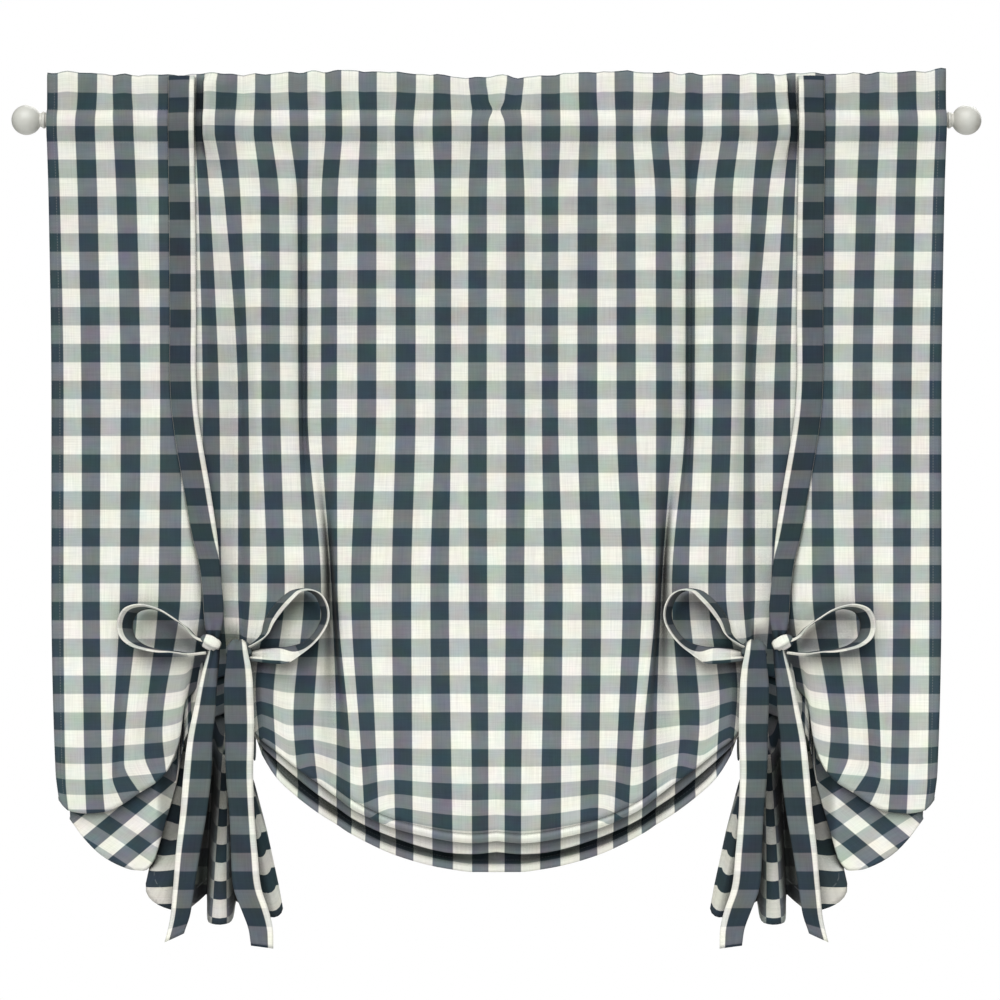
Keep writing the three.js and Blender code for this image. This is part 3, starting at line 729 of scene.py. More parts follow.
class ClothLine:
    """One line of the cloth, from the turned-down back over the rod to the hem."""

    def __init__(self, flat, side):
        self.flat = flat
        self.side = side
        for key, curve in line_curves.items():
            setattr(self, key, float(curve(flat)))
        self.roll = float(roll_depth(flat))
        self.rise = float(mix(PLEAT_RISE, TIED_RISE, between(flat, TIED_IN, TIED_OUT)))
        low_rise = float(mix(LOW_RISE, EAR_LOW_RISE, ease(flat, *EAR_LOW_IN)))
        beside_tie = float(ease(flat, *HIGH_IN))
        high = mix(self.top, self.mid, mix(*HIGH_SHARE, beside_tie))
        d_high = mix(self.d_top, self.d_mid, mix(*HIGH_DEPTH_SHARE, beside_tie))
        drops = [HEADING_DROP, HIGH_DROP, MID_DROP, BOW_DROP, self.f1_drop - low_rise, self.f1_drop]
        self.across = through(drops, [self.top, high, self.mid, self.bow, self.low, self.f1])
        low_depths = [self.d_bow * LOW_DEPTH_SHARE, self.d_bow * FOLD_DEPTH_SHARE]
        self.depth = through(drops, [self.d_top, d_high, self.d_mid, self.d_bow, *low_depths])
        self.points = []

    def back(self, drop):
        """How far back the sheet lies at a drop, its rolled lower edge included."""
        above = np.maximum(0, self.f1_drop - drop)
        rolled = np.maximum(0, 1 - above / ROLL_REACH)
        y = FRONT_Y + self.depth(self.f1_drop - above) + self.roll * rolled * rolled
        return y + self.tucked(drop)

    def drawn(self, drop):
        """How far the ear's folded layers are drawn back beside the bow."""
        return DRAWN_DEPTH * between(self.flat, DRAWN_IN, DRAWN_OUT) * ease(drop, *DRAWN_FROM)

    def tucked(self, drop):
        """How far the gathered cloth between the tails is drawn back under the bow."""
        inside = between(self.flat, UNDER_IN, UNDER_OUT)
        return UNDER_DEPTH * inside * between(drop, UNDER_FROM, UNDER_TO)

    def put(self, across, y, drop, u, v, gathered=0.0, to_hem=FAR_FROM_HEM):
        """Adds points with their flat places u and v, gathered share and way left to the hem."""
        columns = np.broadcast_arrays(across, y, drop, u, v, gathered, to_hem)
        self.points.append(np.stack([np.atleast_1d(c) for c in columns], axis=1))

    def heading(self):
        """The run over the rod, with the header's waves, gathers, tucks and middle pinch."""
        run = smooth_path(HEADING, HEADING_POINTS)
        out, height = run.T
        across = self.across(-height)
        signed = self.side * across
        front = out < 0
        forward = np.where(front, self.d_top, 0) * (1 - ease(height, *HEADER_LEAN_UP))
        pinch = hump(across, PINCH_WIDTH) * hump(height - HEADER_SEAM, PINCH_HEIGHT)
        spread = hump(across, SPREAD_WIDTH) * ease(height, *SPREAD_UP)
        tuck = np.where(front, header_tuck(self.flat, -height), 0)
        y = out + forward + header_wave(signed, height) + np.where(front, PINCH_DEPTH * pinch, 0)
        y += np.where(front, gathers(signed, -height) * ease(-height, *GATHERS_FROM), 0) - tuck
        upper = ease(height, HEADER_SEAM, HEADER_TOP)
        drop = -height - (crest_rise(signed) + ripples(FRINGE, signed)) * upper
        along = lengths(run)
        v = -run[-1, 1] - (along[-1] - along) - HEADER_EASE * ease(height, *HEADER_EASE_UP)
        lean = self.side * header_sway(signed, height) + TUCK_LEAN * tuck
        drawn = across * (1 - PINCH_DRAW * pinch + SPREAD_DRAW * spread)
        self.put(drawn + lean, y, drop, self.flat, v)

    def front(self):
        """The hanging front, down to its rolled lower edge; returns the flat length reached."""
        foot = self.f1_drop - self.gap / 2
        start = self.f1_drop - ROLL_REACH
        upper = np.linspace(-HEADING[-1][1], start, FRONT_POINTS + 1)[1:]
        lower = mix(foot, start, np.linspace(1, 0, ROLL_POINTS + 1)[1:] ** ROLL_SPACING)
        drop = np.concatenate([upper, lower])
        across = self.across(drop)
        signed = self.side * across
        tuck = header_tuck(self.flat, drop)
        folds = soft_folds(signed, self.flat, drop) * ease(drop, *FOLDS_FROM)
        above = self.f1_drop - drop
        crease = hump(above - FOOT_RISE, FOOT_WIDTH) * (1 - ease(self.flat, *FOOT_OUT))
        y = self.back(drop) + gathers(signed, drop) - tuck
        y += folds * ease(foot - drop, *FOLDS_FOOT) + FOOT_DEPTH * crease
        rolled = np.maximum(0, 1 - above / ROLL_REACH)
        swag_extra = float(edge_length(self.flat)) - self.f1_drop
        v = drop + mix(swag_extra, ROLL_EXTRA, ease(self.flat, *EDGE_OUT)) * rolled * rolled
        lean = self.side * header_sway(signed, -drop) + TUCK_LEAN * tuck
        self.put(across + lean, y, drop, self.flat, v)
        return v[-1]

    def fold(self, across, drop, layer, way, end=1.0):
        """A half-round fold to the next layer; way is 1 where it points down, -1 where up."""
        radius = self.gap / 2
        turn = np.linspace(0, np.pi * end, FOLD_POINTS + 1)[1:]
        spot = drop - way * radius * (1 - np.sin(turn))
        drawn = self.drawn(spot) * min(layer, 1)
        y = self.back(drop) + layer * self.gap + radius * (1 - np.cos(turn)) + drawn
        return across + 0 * turn, y, spot

    def run(self, a, a_drop, b, b_drop, layer):
        """The layer's straight run from one fold to the next."""
        share = np.linspace(0, 1, LAYER_POINTS + 1)[1:]
        drop = mix(a_drop, b_drop, share)
        drawn = self.drawn(drop) * min(layer - 1, 1)
        return mix(a, b, share), self.back(drop) + layer * self.gap + drawn, drop

    def pleats(self, v_from):
        """The raised lower edge, folded back and forth behind the front, down to the hem."""
        radius = self.gap / 2
        t1 = (self.f1 + self.f2) / 2
        t1_drop = self.f1_drop - self.rise
        t2_drop = self.f2_drop - self.rise
        down = (
            self.fold(self.f1, self.f1_drop, 0, 1),
            self.run(self.f1, self.f1_drop - radius, t1, t1_drop + radius, 1),
            self.fold(t1, t1_drop, 1, -1),
            self.run(t1, t1_drop + radius, self.f2, self.f2_drop - radius, 2),
            self.fold(self.f2, self.f2_drop, 2, 1, 0.5),
        )
        up = (
            self.run(self.f2, self.f2_drop, self.f2, self.f2_drop - radius, 3),
            self.run(self.f2, self.f2_drop - radius, self.f2, t2_drop + radius, 3),
            self.fold(self.f2, t2_drop, 3, -1),
        )
        hem = self.hem(t2_drop + radius)
        along_hem = lengths(np.stack(hem, axis=1))
        to_hem = along_hem[-1] - along_hem
        hem_v = self.hem_end() - to_hem
        last = np.array([self.f1, self.back(self.f1_drop), self.f1_drop - radius])
        for part, v_end in ((down, FOLD_LENGTH_AT), (up, hem_v[0])):
            spots = np.concatenate([np.stack(np.broadcast_arrays(*run), axis=1) for run in part])
            along = lengths(np.concatenate([last[None], spots]))[1:]
            v = mix(v_from, v_end, along / along[-1])
            u, v = self.turned(spots, along, v) if part is down else (self.flat, v)
            self.put(*spots.T, u, v)
            last = spots[-1]
            v_from = v_end
        across, y, drop = (column[1:] for column in hem)
        gathered = ease(self.opening(drop), *GATHERED_ALONG) * self.fan_share()
        u = mix(self.flat, FAN_LIGHT + float(fan_turn(self.flat)), gathered)
        self.put(across, y, drop, u, hem_v[1:], gathered, to_hem[1:])

    def hem_end(self):
        """Where the check ends along the cloth, so that its rows run level around the fan."""
        end = mix(SWAG_HEM_LENGTH_AT, HEM_LENGTH_AT, float(ease(self.flat, *SWAG_OUT)))
        inner = self.flat < FAN_MIDDLE
        beside = TIED_FROM if inner else TIED_TO
        sooner = (INNER_REPEATS if inner else OUTER_REPEATS) * ROW_REPEAT
        if TIED_FROM < self.flat < TIED_TO:
            short = max(0, FAN_EVEN_DROP - self.hem_drop)
            sooner *= short / (FAN_EVEN_DROP - float(hem_drop_at(beside)))
        return end - sooner

    def turned(self, spots, along, v):
        right, down = EAR_DARK[0] - spots[:, 0], spots[:, 2] - EAR_DARK[1]
        share = ease(self.flat, *EAR_TURN_IN) * ease(along / along[-1], *EAR_TURN_ALONG)
        u = EAR_DARK[2] + EAR_TURN_U[0] * right + EAR_TURN_U[1] * down
        turned_v = EAR_DARK[3] + EAR_TURN_V[0] * right + EAR_TURN_V[1] * down
        return mix(self.flat, u, share), mix(v, turned_v, share)

    def fan_share(self):
        """1 on the lines of the gathered fan and 0 beside it."""
        return float(between(self.flat, FAN_IN, FAN_OUT))

    def opening(self, drop):
        """How far the fan has opened at a drop, from 0 at its neck to 1 at the hem."""
        reach = max(self.hem_drop - FAN_NECK_DROP, 1)
        return np.clip((drop - FAN_NECK_DROP) / reach, 0, 1)

    def hem(self, top):
        """The last layer from its upper fold to the hem, plain or gathered in the fan."""
        share = np.linspace(0, 1, HEM_POINTS + 1)
        drop = mix(top, self.hem_drop, share)
        opened, fan_share = self.opening(drop), self.fan_share()
        neck = mix(FAN_NECK_ACROSS, self.f2, FAN_NECK_PINCH)
        flare = mix(FAN_FLARE, FAN_SIDE_FLARE, ease(self.flat, *FAN_SIDE_IN))
        fanned = mix(neck, self.hem_across, opened**flare)
        plain = mix(self.f2, self.hem_across, share)
        lip = ease(drop, *(self.hem_drop - rise for rise in HEM_LIP_RISE))
        lip *= 1 - ease(self.flat, *HEM_LIP_OUT)
        y = self.back(drop) + HEM_LAYER * self.gap - HEM_LIP * lip
        y += self.drawn(drop) * (1 - ease(drop, *DRAWN_FAN_TO) * fan_share)
        y += self.hem_back * opened * fan_share
        return mix(plain, fanned, fan_share), y, drop

    def build(self):
        self.heading()
        self.pleats(self.front())
        return np.concatenate(self.points)


def cloth_flats():
    """Places of the cloth's lines from the centre to the side edge, closest at the bow."""
    parts = [np.linspace(*part, endpoint=False) for part in LINES]
    return np.concatenate([*parts, np.linspace(TIED_TO, HALF_FLAT, EAR_LINES)])


def sheet_shell(grid, thickness, uv):
    """A closed thin sheet around a grid of points, as points, faces and pattern places."""
    lines, spots = grid.shape[:2]
    normal = np.cross(np.gradient(grid, axis=0), np.gradient(grid, axis=1))
    normal /= np.maximum(np.linalg.norm(normal, axis=2, keepdims=True), 1e-9)
    half = np.broadcast_to(np.asarray(thickness, float) / 2, (lines, spots))[..., None]
    points = np.concatenate([(grid + sign * half * normal).reshape(-1, 3) for sign in (1, -1)])
    count = lines * spots
    index = np.arange(count).reshape(lines, spots)
    corners = (index[:-1, :-1], index[1:, :-1], index[1:, 1:], index[:-1, 1:])
    upper = np.stack(corners, axis=-1).reshape(-1, 4)
    lower = upper[:, ::-1] + count
    rim = np.concatenate([index[:, 0], index[-1, 1:], index[-2::-1, -1], index[0, -2:0:-1]])
    following = np.roll(rim, -1)
    band = np.stack([following, rim, rim + count, following + count], axis=-1)
    faces = np.concatenate([upper, lower, band])
    return points, faces, np.tile(uv.reshape(count, -1), (2, 1))


def mirrored(shell):
    points, faces, uv = shell
    return points * (-1, 1, 1), faces[:, ::-1], uv


def make_piece(name, shells, material):
    """One mesh object from closed shells given in millimetres."""
    points, faces, uvs, offset = [], [], [], 0
    for shell_points, shell_faces, shell_uv in shells:
        points.append(shell_points * MM)
        faces += (shell_faces + offset).tolist()
        uvs.append(shell_uv * MM)
        offset += len(shell_points)
    mesh = bpy.data.meshes.new(name)
    mesh.from_pydata(np.concatenate(points).tolist(), [], [drop_repeats(f) for f in faces])
    mesh.polygons.foreach_set("use_smooth", np.ones(len(mesh.polygons), bool))
    corners = np.zeros(len(mesh.loops), np.int32)
    mesh.loops.foreach_get("vertex_index", corners)
    places = np.concatenate(uvs)[corners].astype(np.float32)
    mesh.uv_layers.new(name="flat").data.foreach_set("uv", places[:, :2].ravel())
    if places.shape[1] > 2:
        mesh.uv_layers.new(name="hem").data.foreach_set("uv", places[:, 2:].ravel())
    mesh.materials.append(material)
    mesh.validate()
    mesh.update()
    return add_object(name, mesh)


def add_object(name, data):
    """An object of the scene that holds a mesh, a light or a camera."""
    added = bpy.data.objects.new(name, data)
    bpy.context.scene.collection.objects.link(added)
    return added


def drop_repeats(face):
    """A face without corners that repeat, so that a pole's quads become triangles."""
    return list(dict.fromkeys(face))


def panel_shell(thickness):
    half = cloth_flats()
    lines = [ClothLine(flat, -1).build() for flat in half[:0:-1]]
    lines += [ClothLine(flat, 1).build() for flat in half]
    sides = np.concatenate([-np.ones(len(half) - 1), np.ones(len(half))])[:, None]
    data = np.stack(lines)
    grid = np.stack([sides * data[..., 0], data[..., 1], -data[..., 2]], axis=-1)
    u, v, gathered, to_hem = np.moveaxis(data[..., 3:], -1, 0)
    uv = np.stack([sides * u, v, gathered / MM, to_hem], axis=-1)
    hems = np.maximum(1 - ease(HALF_FLAT - u, *SIDE_HEM), 1 - ease(to_hem, *LOW_HEM))
    return sheet_shell(grid, thickness * (1 + HEM_EXTRA * hems), uv)


def ribbon_shell(centre, lay, width, u, v, thickness, camber=0.0, crease=0.0):
    """A ribbon along a centre line; camber bows it across and crease pleats it."""
    edge = np.linspace(-0.5, 0.5, TIE_CROSS_POINTS)[:, None]
    along = np.gradient(centre, axis=0)
    face = np.cross(lay, along)
    face /= np.maximum(np.linalg.norm(face, axis=1, keepdims=True), 1e-9)
    bow = camber * (1 - 4 * edge**2) + crease * np.cos(edge * 4 * np.pi)
    grid = centre[None] + lay[None] * (edge * width)[..., None] + face[None] * bow[..., None]
    uv = np.stack(np.broadcast_arrays(u(edge), v[None]), axis=-1)
    return sheet_shell(grid, thickness, uv)


def strap_shell(rows, thickness, lift):
    """A tie's run from the header; lift is how far its inner edge stands off the rod pocket."""
    run = smooth_path(np.array(rows) * (-1, 1, 1, 1), STRAP_POINTS, place=3)
    centre, width = run[:, :3], run[:, 3]
    lay = np.tile([1.0, 0, 0], (len(run), 1))
    lifted = lift * between(centre[:, 2], STRAP_LIFT_UP, STRAP_LIFT_END_UP)
    lay[:, 1] = -lifted / width
    centre[:, 1] -= lifted / 2
    tight = 1 - np.clip(width / TIE_WIDTH, 0, 1)
    along = lengths(centre)
    near = np.argmin(np.abs(centre[:, 2] + STRAP_ROW_DROP))
    row_start = along[near] + STRAP_ROW_DROP + centre[near, 2]
    v = DARK_ROW_START + (along - row_start) * STRAP_ROW_EASE
    shown = np.clip(width, TIE_NARROW, TIE_WIDTH) * STRAP_SHOWN
    return ribbon_shell(
        centre, lay, width, lambda e: STRAP_EDGE_U - (e + 0.5) * shown, v, thickness,
        camber=STRAP_CAMBER * (1 - tight), crease=STRAP_CREASE * ease(tight, *STRAP_TIGHT),
    )


def loop_shell(rows, outward, light_at, slide, thickness):
    """A loop of the bow; outward is the way along X in which its front edge turns.

    slide is how far its light edge widens towards the loop's second root.
    """
    path = smooth_path(np.array(rows) * (-1, 1, 1, 1), LOOP_POINTS)
    share = np.linspace(0, 1, LOOP_POINTS)
    opening = ease(LOOP_OPENING * np.minimum(share, 1 - share), 0, 1)
    turn, lift = np.radians(path[:, 2]), np.radians(path[:, 3])
    centre = np.stack([path[:, 0], mix(KNOT_OUT, LOOP_OUT, opening), path[:, 1]], axis=1)
    level = np.cos(lift)
    lay = np.stack([outward * np.sin(turn) * level, -np.cos(turn) * level, np.sin(lift)], axis=1)
    lifted_root = np.abs(np.sin(lift)) * (1 - opening)
    width = mix(LOOP_ROOT_WIDTH, LOOP_WIDTH, opening) + LOOP_LIFTED_WIDTH * lifted_root
    slid = slide * ease(share, *LOOP_SLIDE_ALONG)
    along = lengths(centre)
    light = np.argmin(np.hypot(path[:, 0] + light_at[0], path[:, 1] - light_at[1]))
    return ribbon_shell(
        centre, lay, width, lambda e: STRAP_EDGE_U - (e + 0.5) * TIE_WIDTH - slid,
        along - along[light] + LIGHT_ROW_MIDDLE, thickness,
        camber=LOOP_CAMBER * opening, crease=LOOP_CREASE * (1 - opening),
    )


def tail_shell(rows, slant, stripe, thickness):
    """A hanging tail; stripe is 1 where its light stripe lies on the right edge, -1 on the left."""
    rows = np.array(rows)[:, [0, 2, 1, 3]] * (-1, 1, 1, 1)
    run = smooth_path(rows, TAIL_POINTS, place=3)
    centre, width = run[:, :3], run[:, 3]
    share = np.linspace(0, 1, TAIL_POINTS)
    lay = np.tile([1.0, 0, 0], (len(run), 1))
    lay[:, 2] = slant / SLANT_WIDTH * ease(share, *SLANT_ALONG)
    tight = 1 - np.clip(width / TAIL_FULL_WIDTH, 0, 1)
    v = -centre[:, 2] - TAIL_BAND_DROP + DARK_ROW_MIDDLE
    wave = TAIL_WAVE * np.sin(share * TAIL_WAVE_TURNS + stripe)
    return ribbon_shell(
        centre, lay, width, lambda e: STRAP_EDGE_U - TIE_WIDTH / 2 - stripe * e * TAIL_SHOWN, v,
        thickness, camber=TAIL_CAMBER + wave,
        crease=TAIL_CREASE * tight * (1 - ease(share, *TAIL_CREASE_ALONG)),
    )


def rings_shell(grid, uv):
    """A closed form from rings of points, the first and last of which are each one point."""
    rings, around = grid.shape[:2]
    ring = np.arange(around)
    following = np.roll(ring, -1)
    start = np.arange(0, (rings - 1) * around, around)[:, None]
    corners = (start + ring, start + following, start + around + following, start + around + ring)
    faces = np.stack(corners, axis=-1).reshape(-1, 4)
    last = (rings - 1) * around
    faces[faces < around] = 0
    faces[faces >= last] = last
    used, place = np.unique(faces, return_inverse=True)
    return grid.reshape(-1, 3)[used], place.reshape(-1, 4), uv.reshape(-1, 2)[used]


def knot_shell(size, crease, check):
    """One half of a pulled knot, with the creases of its cloth."""
    across, height, wide, deep, tall, tilt = size
    crease_along, crease_around, sway, start = crease
    u_middle, v_middle, spread = check
    s = np.linspace(0, 1, KNOT_RINGS + 1)
    turn = circle(KNOT_AROUND)
    reach = np.sin(np.pi * s)[:, None] ** KNOT_FULLNESS
    x = -np.cos(np.pi * s)[:, None]
    folds = np.cos(crease_along * x + crease_around * turn + sway * np.sin(turn) + start)
    radius = reach * (1 + KNOT_CREASE * folds * reach)
    lean = math.radians(tilt)
    up = tall * radius * np.sin(turn)
    grid = np.stack(
        [
            -across + wide * x * math.cos(lean) + up * math.sin(lean),
            KNOT_OUT - deep * radius * np.cos(turn),
            height - wide * x * math.sin(lean) + up * math.cos(lean),
        ],
        axis=-1,
    )
    places = np.broadcast_arrays(u_middle + spread * x, v_middle - spread * np.sin(turn))
    return rings_shell(grid, np.stack(places, axis=-1))


def lathe_shell(profile, side):
    """A turned form about the rod's axis from (distance along, radius) places, ends on the axis."""
    along, radius = np.transpose(profile)[..., None]
    turn = circle(LATHE_STEPS)
    spots = np.broadcast_arrays(side * along, radius * np.cos(turn), radius * np.sin(turn))
    places = np.broadcast_arrays(along, radius * turn)
    points, faces, uv = rings_shell(np.stack(spots, axis=-1), np.stack(places, axis=-1))
    return points, faces[:, ::-1] if side > 0 else faces, uv


class Wire:
    """A socket of a node tree; its operators add Math nodes."""

    def __init__(self, nodes, socket):
        self.nodes = nodes
        self.socket = socket

    def math(self, operation, *others):
        return self.nodes.maths(operation, self, *others)

    def __add__(self, other):
        return self.math("ADD", other)

    def __sub__(self, other):
        return self.math("SUBTRACT", other)

    def __rsub__(self, other):
        return self.nodes.maths("SUBTRACT", other, self)

    def __mul__(self, other):
        return self.math("MULTIPLY", other)

    __radd__ = __add__
    __rmul__ = __mul__


class Nodes:
    """The node tree of a material or world, which ends in one output node."""

    def __init__(self, owner, output):
        owner.use_nodes = True
        self.tree = owner.node_tree
        self.tree.nodes.clear()
        self.output = output

    def node(self, kind, settings=None, inputs=None, output=0):
        """Adds a node: its settings first, then the values or links of its sockets.

        Returns the wire from its numbered output, or none where it has no output.
        """
        node = self.tree.nodes.new(kind)
        for key, value in (settings or {}).items():
            setattr(node, key, value)
        for key, value in (inputs or {}).items():
            self.feed(node.inputs[key], value)
        return Wire(self, node.outputs[output]) if node.outputs else None

    def feed(self, socket, value):
        if isinstance(value, Wire):
            self.tree.links.new(value.socket, socket)
        else:
            socket.default_value = value

    def maths(self, operation, *values):
        return self.node("ShaderNodeMath", {"operation": operation}, dict(enumerate(values)))

    def end(self, surface):
        self.node(self.output, None, {"Surface": surface})


class Finish(Nodes):
    """A material with one shader, and the nodes that feed it."""

    def __init__(self, name):
        self.material = bpy.data.materials.new(name)
        super().__init__(self.material, "ShaderNodeOutputMaterial")

    def shaded(self, inputs):
        """Ends the material in a shader with these values or links of its sockets."""
        self.end(self.node("ShaderNodeBsdfPrincipled", None, inputs))
        return self.material

    def step(self, value, low, high):
        """A soft step from 0 at low to 1 at high."""
        settings = {"interpolation_type": "SMOOTHSTEP"}
        inputs = {0: value, 1: low, 2: high, 3: 0.0, 4: 1.0}
        return self.node("ShaderNodeMapRange", settings, inputs)

    def blend(self, share, a, b, way="MIX"):
        settings = {"data_type": "RGBA", "blend_type": way}
        return self.node("ShaderNodeMix", settings, {0: share, 6: a, 7: b}, output=2)

    def vector(self, x, y, z=0.0):
        return self.node("ShaderNodeCombineXYZ", None, {0: x, 1: y, 2: z})

    def shades(self, colour, share):
        """The colour, deepened all over by a share that is 1 where it stays as it is."""
        return self.blend(1.0, colour, self.vector(share, share, share), "MULTIPLY")

    def noise(self, place, scale=1.0, detail=2.0, output=0):
        inputs = {"Vector": place, "Scale": scale, "Detail": detail}
        return self.node("ShaderNodeTexNoise", None, inputs, output)

    def bump(self, strength, distance, height):
        inputs = {"Strength": strength, "Distance": distance, "Height": height}
        return self.node("ShaderNodeBump", None, inputs)

    def places(self, layer):
        """The cloth's own places in a layer, in metres: across and along its threads in "flat".

        "hem" holds the share by which the hem is gathered and the way left to its edge.
        """
        spot = self.node("ShaderNodeUVMap", {"uv_map": layer})
        parts = self.node("ShaderNodeSeparateXYZ", None, {0: spot})
        return parts, Wire(self, parts.socket.node.outputs[1])


def rgba(colour, share=1.0):
    return (*(share * part for part in colour), 1.0)


def seam_line(finish, place, at, along):
    """A row of stitches along a line of the cloth."""
    near = finish.step((place - at).math("ABSOLUTE"), *STITCH_ROW)
    return near * finish.step((along * (math.tau / STITCH_LENGTH)).math("SINE"), *STITCH_GAP)


def check_finish(name, cloth, depth, edge, seams):
    """Plain-woven cotton check: two-colour columns and rows, threads, slubs and sewn seams, with
    shade painted into its colour where its folds close up.
    """
    finish = Finish(name)
    u, v = finish.places("flat")
    rows = ((v - DARK_ROW_START * MM) * (math.tau / cloth.repeat_down)).math("SINE")
    row = finish.step(rows, -CHECK_EDGE, CHECK_EDGE)
    columns = (u * (math.tau / cloth.repeat_across)).math("COSINE")
    # How far off other cloth darkens the painted shade of the folds
    reach = cloth.painted_shade_reach
    if seams:
        gathered, to_hem = finish.places("hem")
        columns = columns * (1 - row * gathered * 2)
        # The painted shade reaches further on the gathered hem
        reach = gathered * (GATHERED_SHADE_REACH * reach) + reach
    column = finish.step(columns, CHECK_EDGE, -CHECK_EDGE)
    across, along = SLUB_SPOTS
    slub_down = finish.noise(finish.vector(u * across, v * along))
    slub_across = finish.noise(finish.vector(u * along, v * across))
    slubs = slub_down + slub_across
    cloudy = finish.noise(finish.vector(u * CLOUD_SPOTS, v * CLOUD_SPOTS), detail=3.0)
    light_row = mix(np.array(cloth.row), np.array(cloth.light), edge)
    light_side = finish.blend(row, rgba(cloth.light), rgba(light_row))
    dark_side = finish.blend(row, rgba(cloth.column, depth), rgba(cloth.dark, depth))
    checks = finish.blend(column, light_side, dark_side)
    colour = finish.shades(checks, slubs * SLUB_SHARE + cloudy * CLOUD_SHARE + EVEN_SHARE)
    dye = finish.noise(finish.vector(u * DYE_SPOTS, v * DYE_SPOTS), output=1)
    colour = finish.blend(DYE_SHARE, colour, dye, "SOFT_LIGHT")
    # Painted shade: the colour is darkened where nearby cloth closes the folds around it, by
    # ambient occlusion
    painted_shade_distance = {"Distance": reach}
    painted_shade_occlusion = finish.node("ShaderNodeAmbientOcclusion", {"samples": 4}, painted_shade_distance, output=1)
    shade = finish.step(painted_shade_occlusion, PAINTED_SHADE_CLOSED, cloth.painted_shade_open) * (1 - PAINTED_SHADE_DARKEST) + PAINTED_SHADE_DARKEST
    # Painted shade: the gathered hem is painted darker still
    if seams:
        shade = shade * (1 - gathered * cloth.gathered_painted_shade)
    colour = finish.shades(colour, shade)
    warp = (u * (math.tau / cloth.thread)).math("SINE")
    weft = (v * (math.tau / cloth.thread)).math("SINE")
    relief = warp * weft * WEAVE_RELIEF + slubs * SLUB_RELIEF
    if seams:
        stitches = seam_line(finish, v, -(HEADER_SEAM + HEADER_STITCH) * MM, u)
        for line in (
            seam_line(finish, v, -POCKET_SEAM * MM, u),
            seam_line(finish, to_hem, HEM_STITCH, u),
            seam_line(finish, u.math("ABSOLUTE"), HALF_FLAT * MM - SIDE_STITCH, v),
        ):
            stitches = stitches.math("MAXIMUM", line)
        colour = finish.blend(stitches * STITCH_SHARE, colour, STITCH_COLOUR)
        relief = relief - stitches * STITCH_RELIEF
    return finish.shaded({
        "Base Color": colour,
        "Roughness": slub_across * SLUB_ROUGHNESS + CLOTH_ROUGHNESS,
        "Normal": finish.bump(strength=0.35, distance=0.0005, height=relief),
        "Sheen Weight": 0.04,
        "Sheen Roughness": 0.5,
        "Specular IOR Level": 0.15,
    })


def paint_finish(name, rod):
    """Satin paint on turned wood: faint turning marks, uneven coat and dull handled spots."""
    finish = Finish(name)
    spot = finish.node("ShaderNodeTexCoord", None, None, output=3)
    cloud = finish.noise(spot, PAINT_SPOTS, 3.0)
    grain = finish.noise(spot, GRAIN_SPOTS)
    along = finish.node("ShaderNodeSeparateXYZ", None, {0: spot})
    marks = (along * TURNING_MARKS + cloud * MARK_WANDER).math("SINE")
    relief = marks * MARK_RELIEF + grain * GRAIN_RELIEF
    return finish.shaded({
        "Base Color": finish.blend(finish.step(cloud, *DULL_FROM), rgba(rod.paint), DULL_PAINT),
        "Roughness": grain * GRAIN_ROUGHNESS + (rod.roughness - GRAIN_ROUGHNESS / 2),
        "Normal": finish.bump(strength=0.2, distance=0.0004, height=relief),
    })


def stage_finish(name):
    """Pale matt floor with a faint mottle."""
    finish = Finish(name)
    spot = finish.node("ShaderNodeTexCoord", None, None, output=3)
    mottle = finish.noise(spot, FLOOR_SPOTS, 3.0)
    return finish.shaded({"Base Color": finish.blend(mottle, *FLOOR_COLOURS), "Roughness": 0.9})


def finish_piece(piece, slot, *nodes):
    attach(piece, BODY)
    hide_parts(*nodes)


class SHADE_OT_rod(bpy.types.Operator):
    """Turns the round rod that runs through the pocket"""

    bl_idname = "shade.turn_rod"
    bl_label = "Turn the rod"

    def execute(self, context):
        paint = paint_finish("Satin rod paint", context.scene.shade_rod)
        rim = ROD_RADIUS - ROD_BEVEL
        half = [(ROD_SEAT - ROD_BEVEL, ROD_RADIUS), (ROD_SEAT, rim), (ROD_SEAT, 0)]
        profile = [(-along, radius) for along, radius in half[::-1]] + half
        piece = make_piece("curtain_rod", [lathe_shell(profile, 1)], paint)
        finish_piece(piece, "rod_paint", "rod")
        return {"FINISHED"}


class SHADE_OT_ball_ends(bpy.types.Operator):
    """Turns the two ball ends with their short necks"""

    bl_idname = "shade.turn_ball_ends"
    bl_label = "Turn the ball ends"

    def execute(self, context):
        paint = paint_finish("Satin ball paint", context.scene.shade_rod)
        start = ROD_SEAT + SEAT_GAP
        end = start + NECK_LENGTH
        profile = [
            (start, 0), (start, NECK_RADIUS - NECK_ROUND),
            (start + NECK_STEP, NECK_RADIUS - NECK_STEP_RADIUS),
            (start + NECK_ROUND, NECK_RADIUS), (end - NECK_ROUND, NECK_RADIUS),
            (end - NECK_STEP, NECK_RADIUS - NECK_STEP_RADIUS), (end, NECK_RADIUS - NECK_ROUND),
        ]
        for angle in np.linspace(math.pi - math.asin(NECK_WAIST / BALL_RADIUS), 0, BALL_RINGS):
            place = BALL_CENTRE + BALL_RADIUS * math.cos(angle)
            profile.append((place, BALL_RADIUS * math.sin(angle)))
        for side, word in ((-1, "left"), (1, "right")):
            piece = make_piece(f"ball_end_{word}", [lathe_shell(profile, side)], paint)
            finish_piece(piece, "rod_paint", f"finial_{word}")
        return {"FINISHED"}


class SHADE_OT_panel(bpy.types.Operator):
    """Hangs the checked panel over the rod and folds its lower edge up behind"""

    bl_idname = "shade.hang_panel"
    bl_label = "Hang the panel"

    def execute(self, context):
        cloth = context.scene.shade_cloth
        finish = check_finish("Checked cotton", cloth, 1.0, 0.0, seams=True)
        piece = make_piece("shade_panel", [panel_shell(cloth.thickness / MM)], finish)
        finish_piece(piece, "check_cloth", "panel")
        return {"FINISHED"}


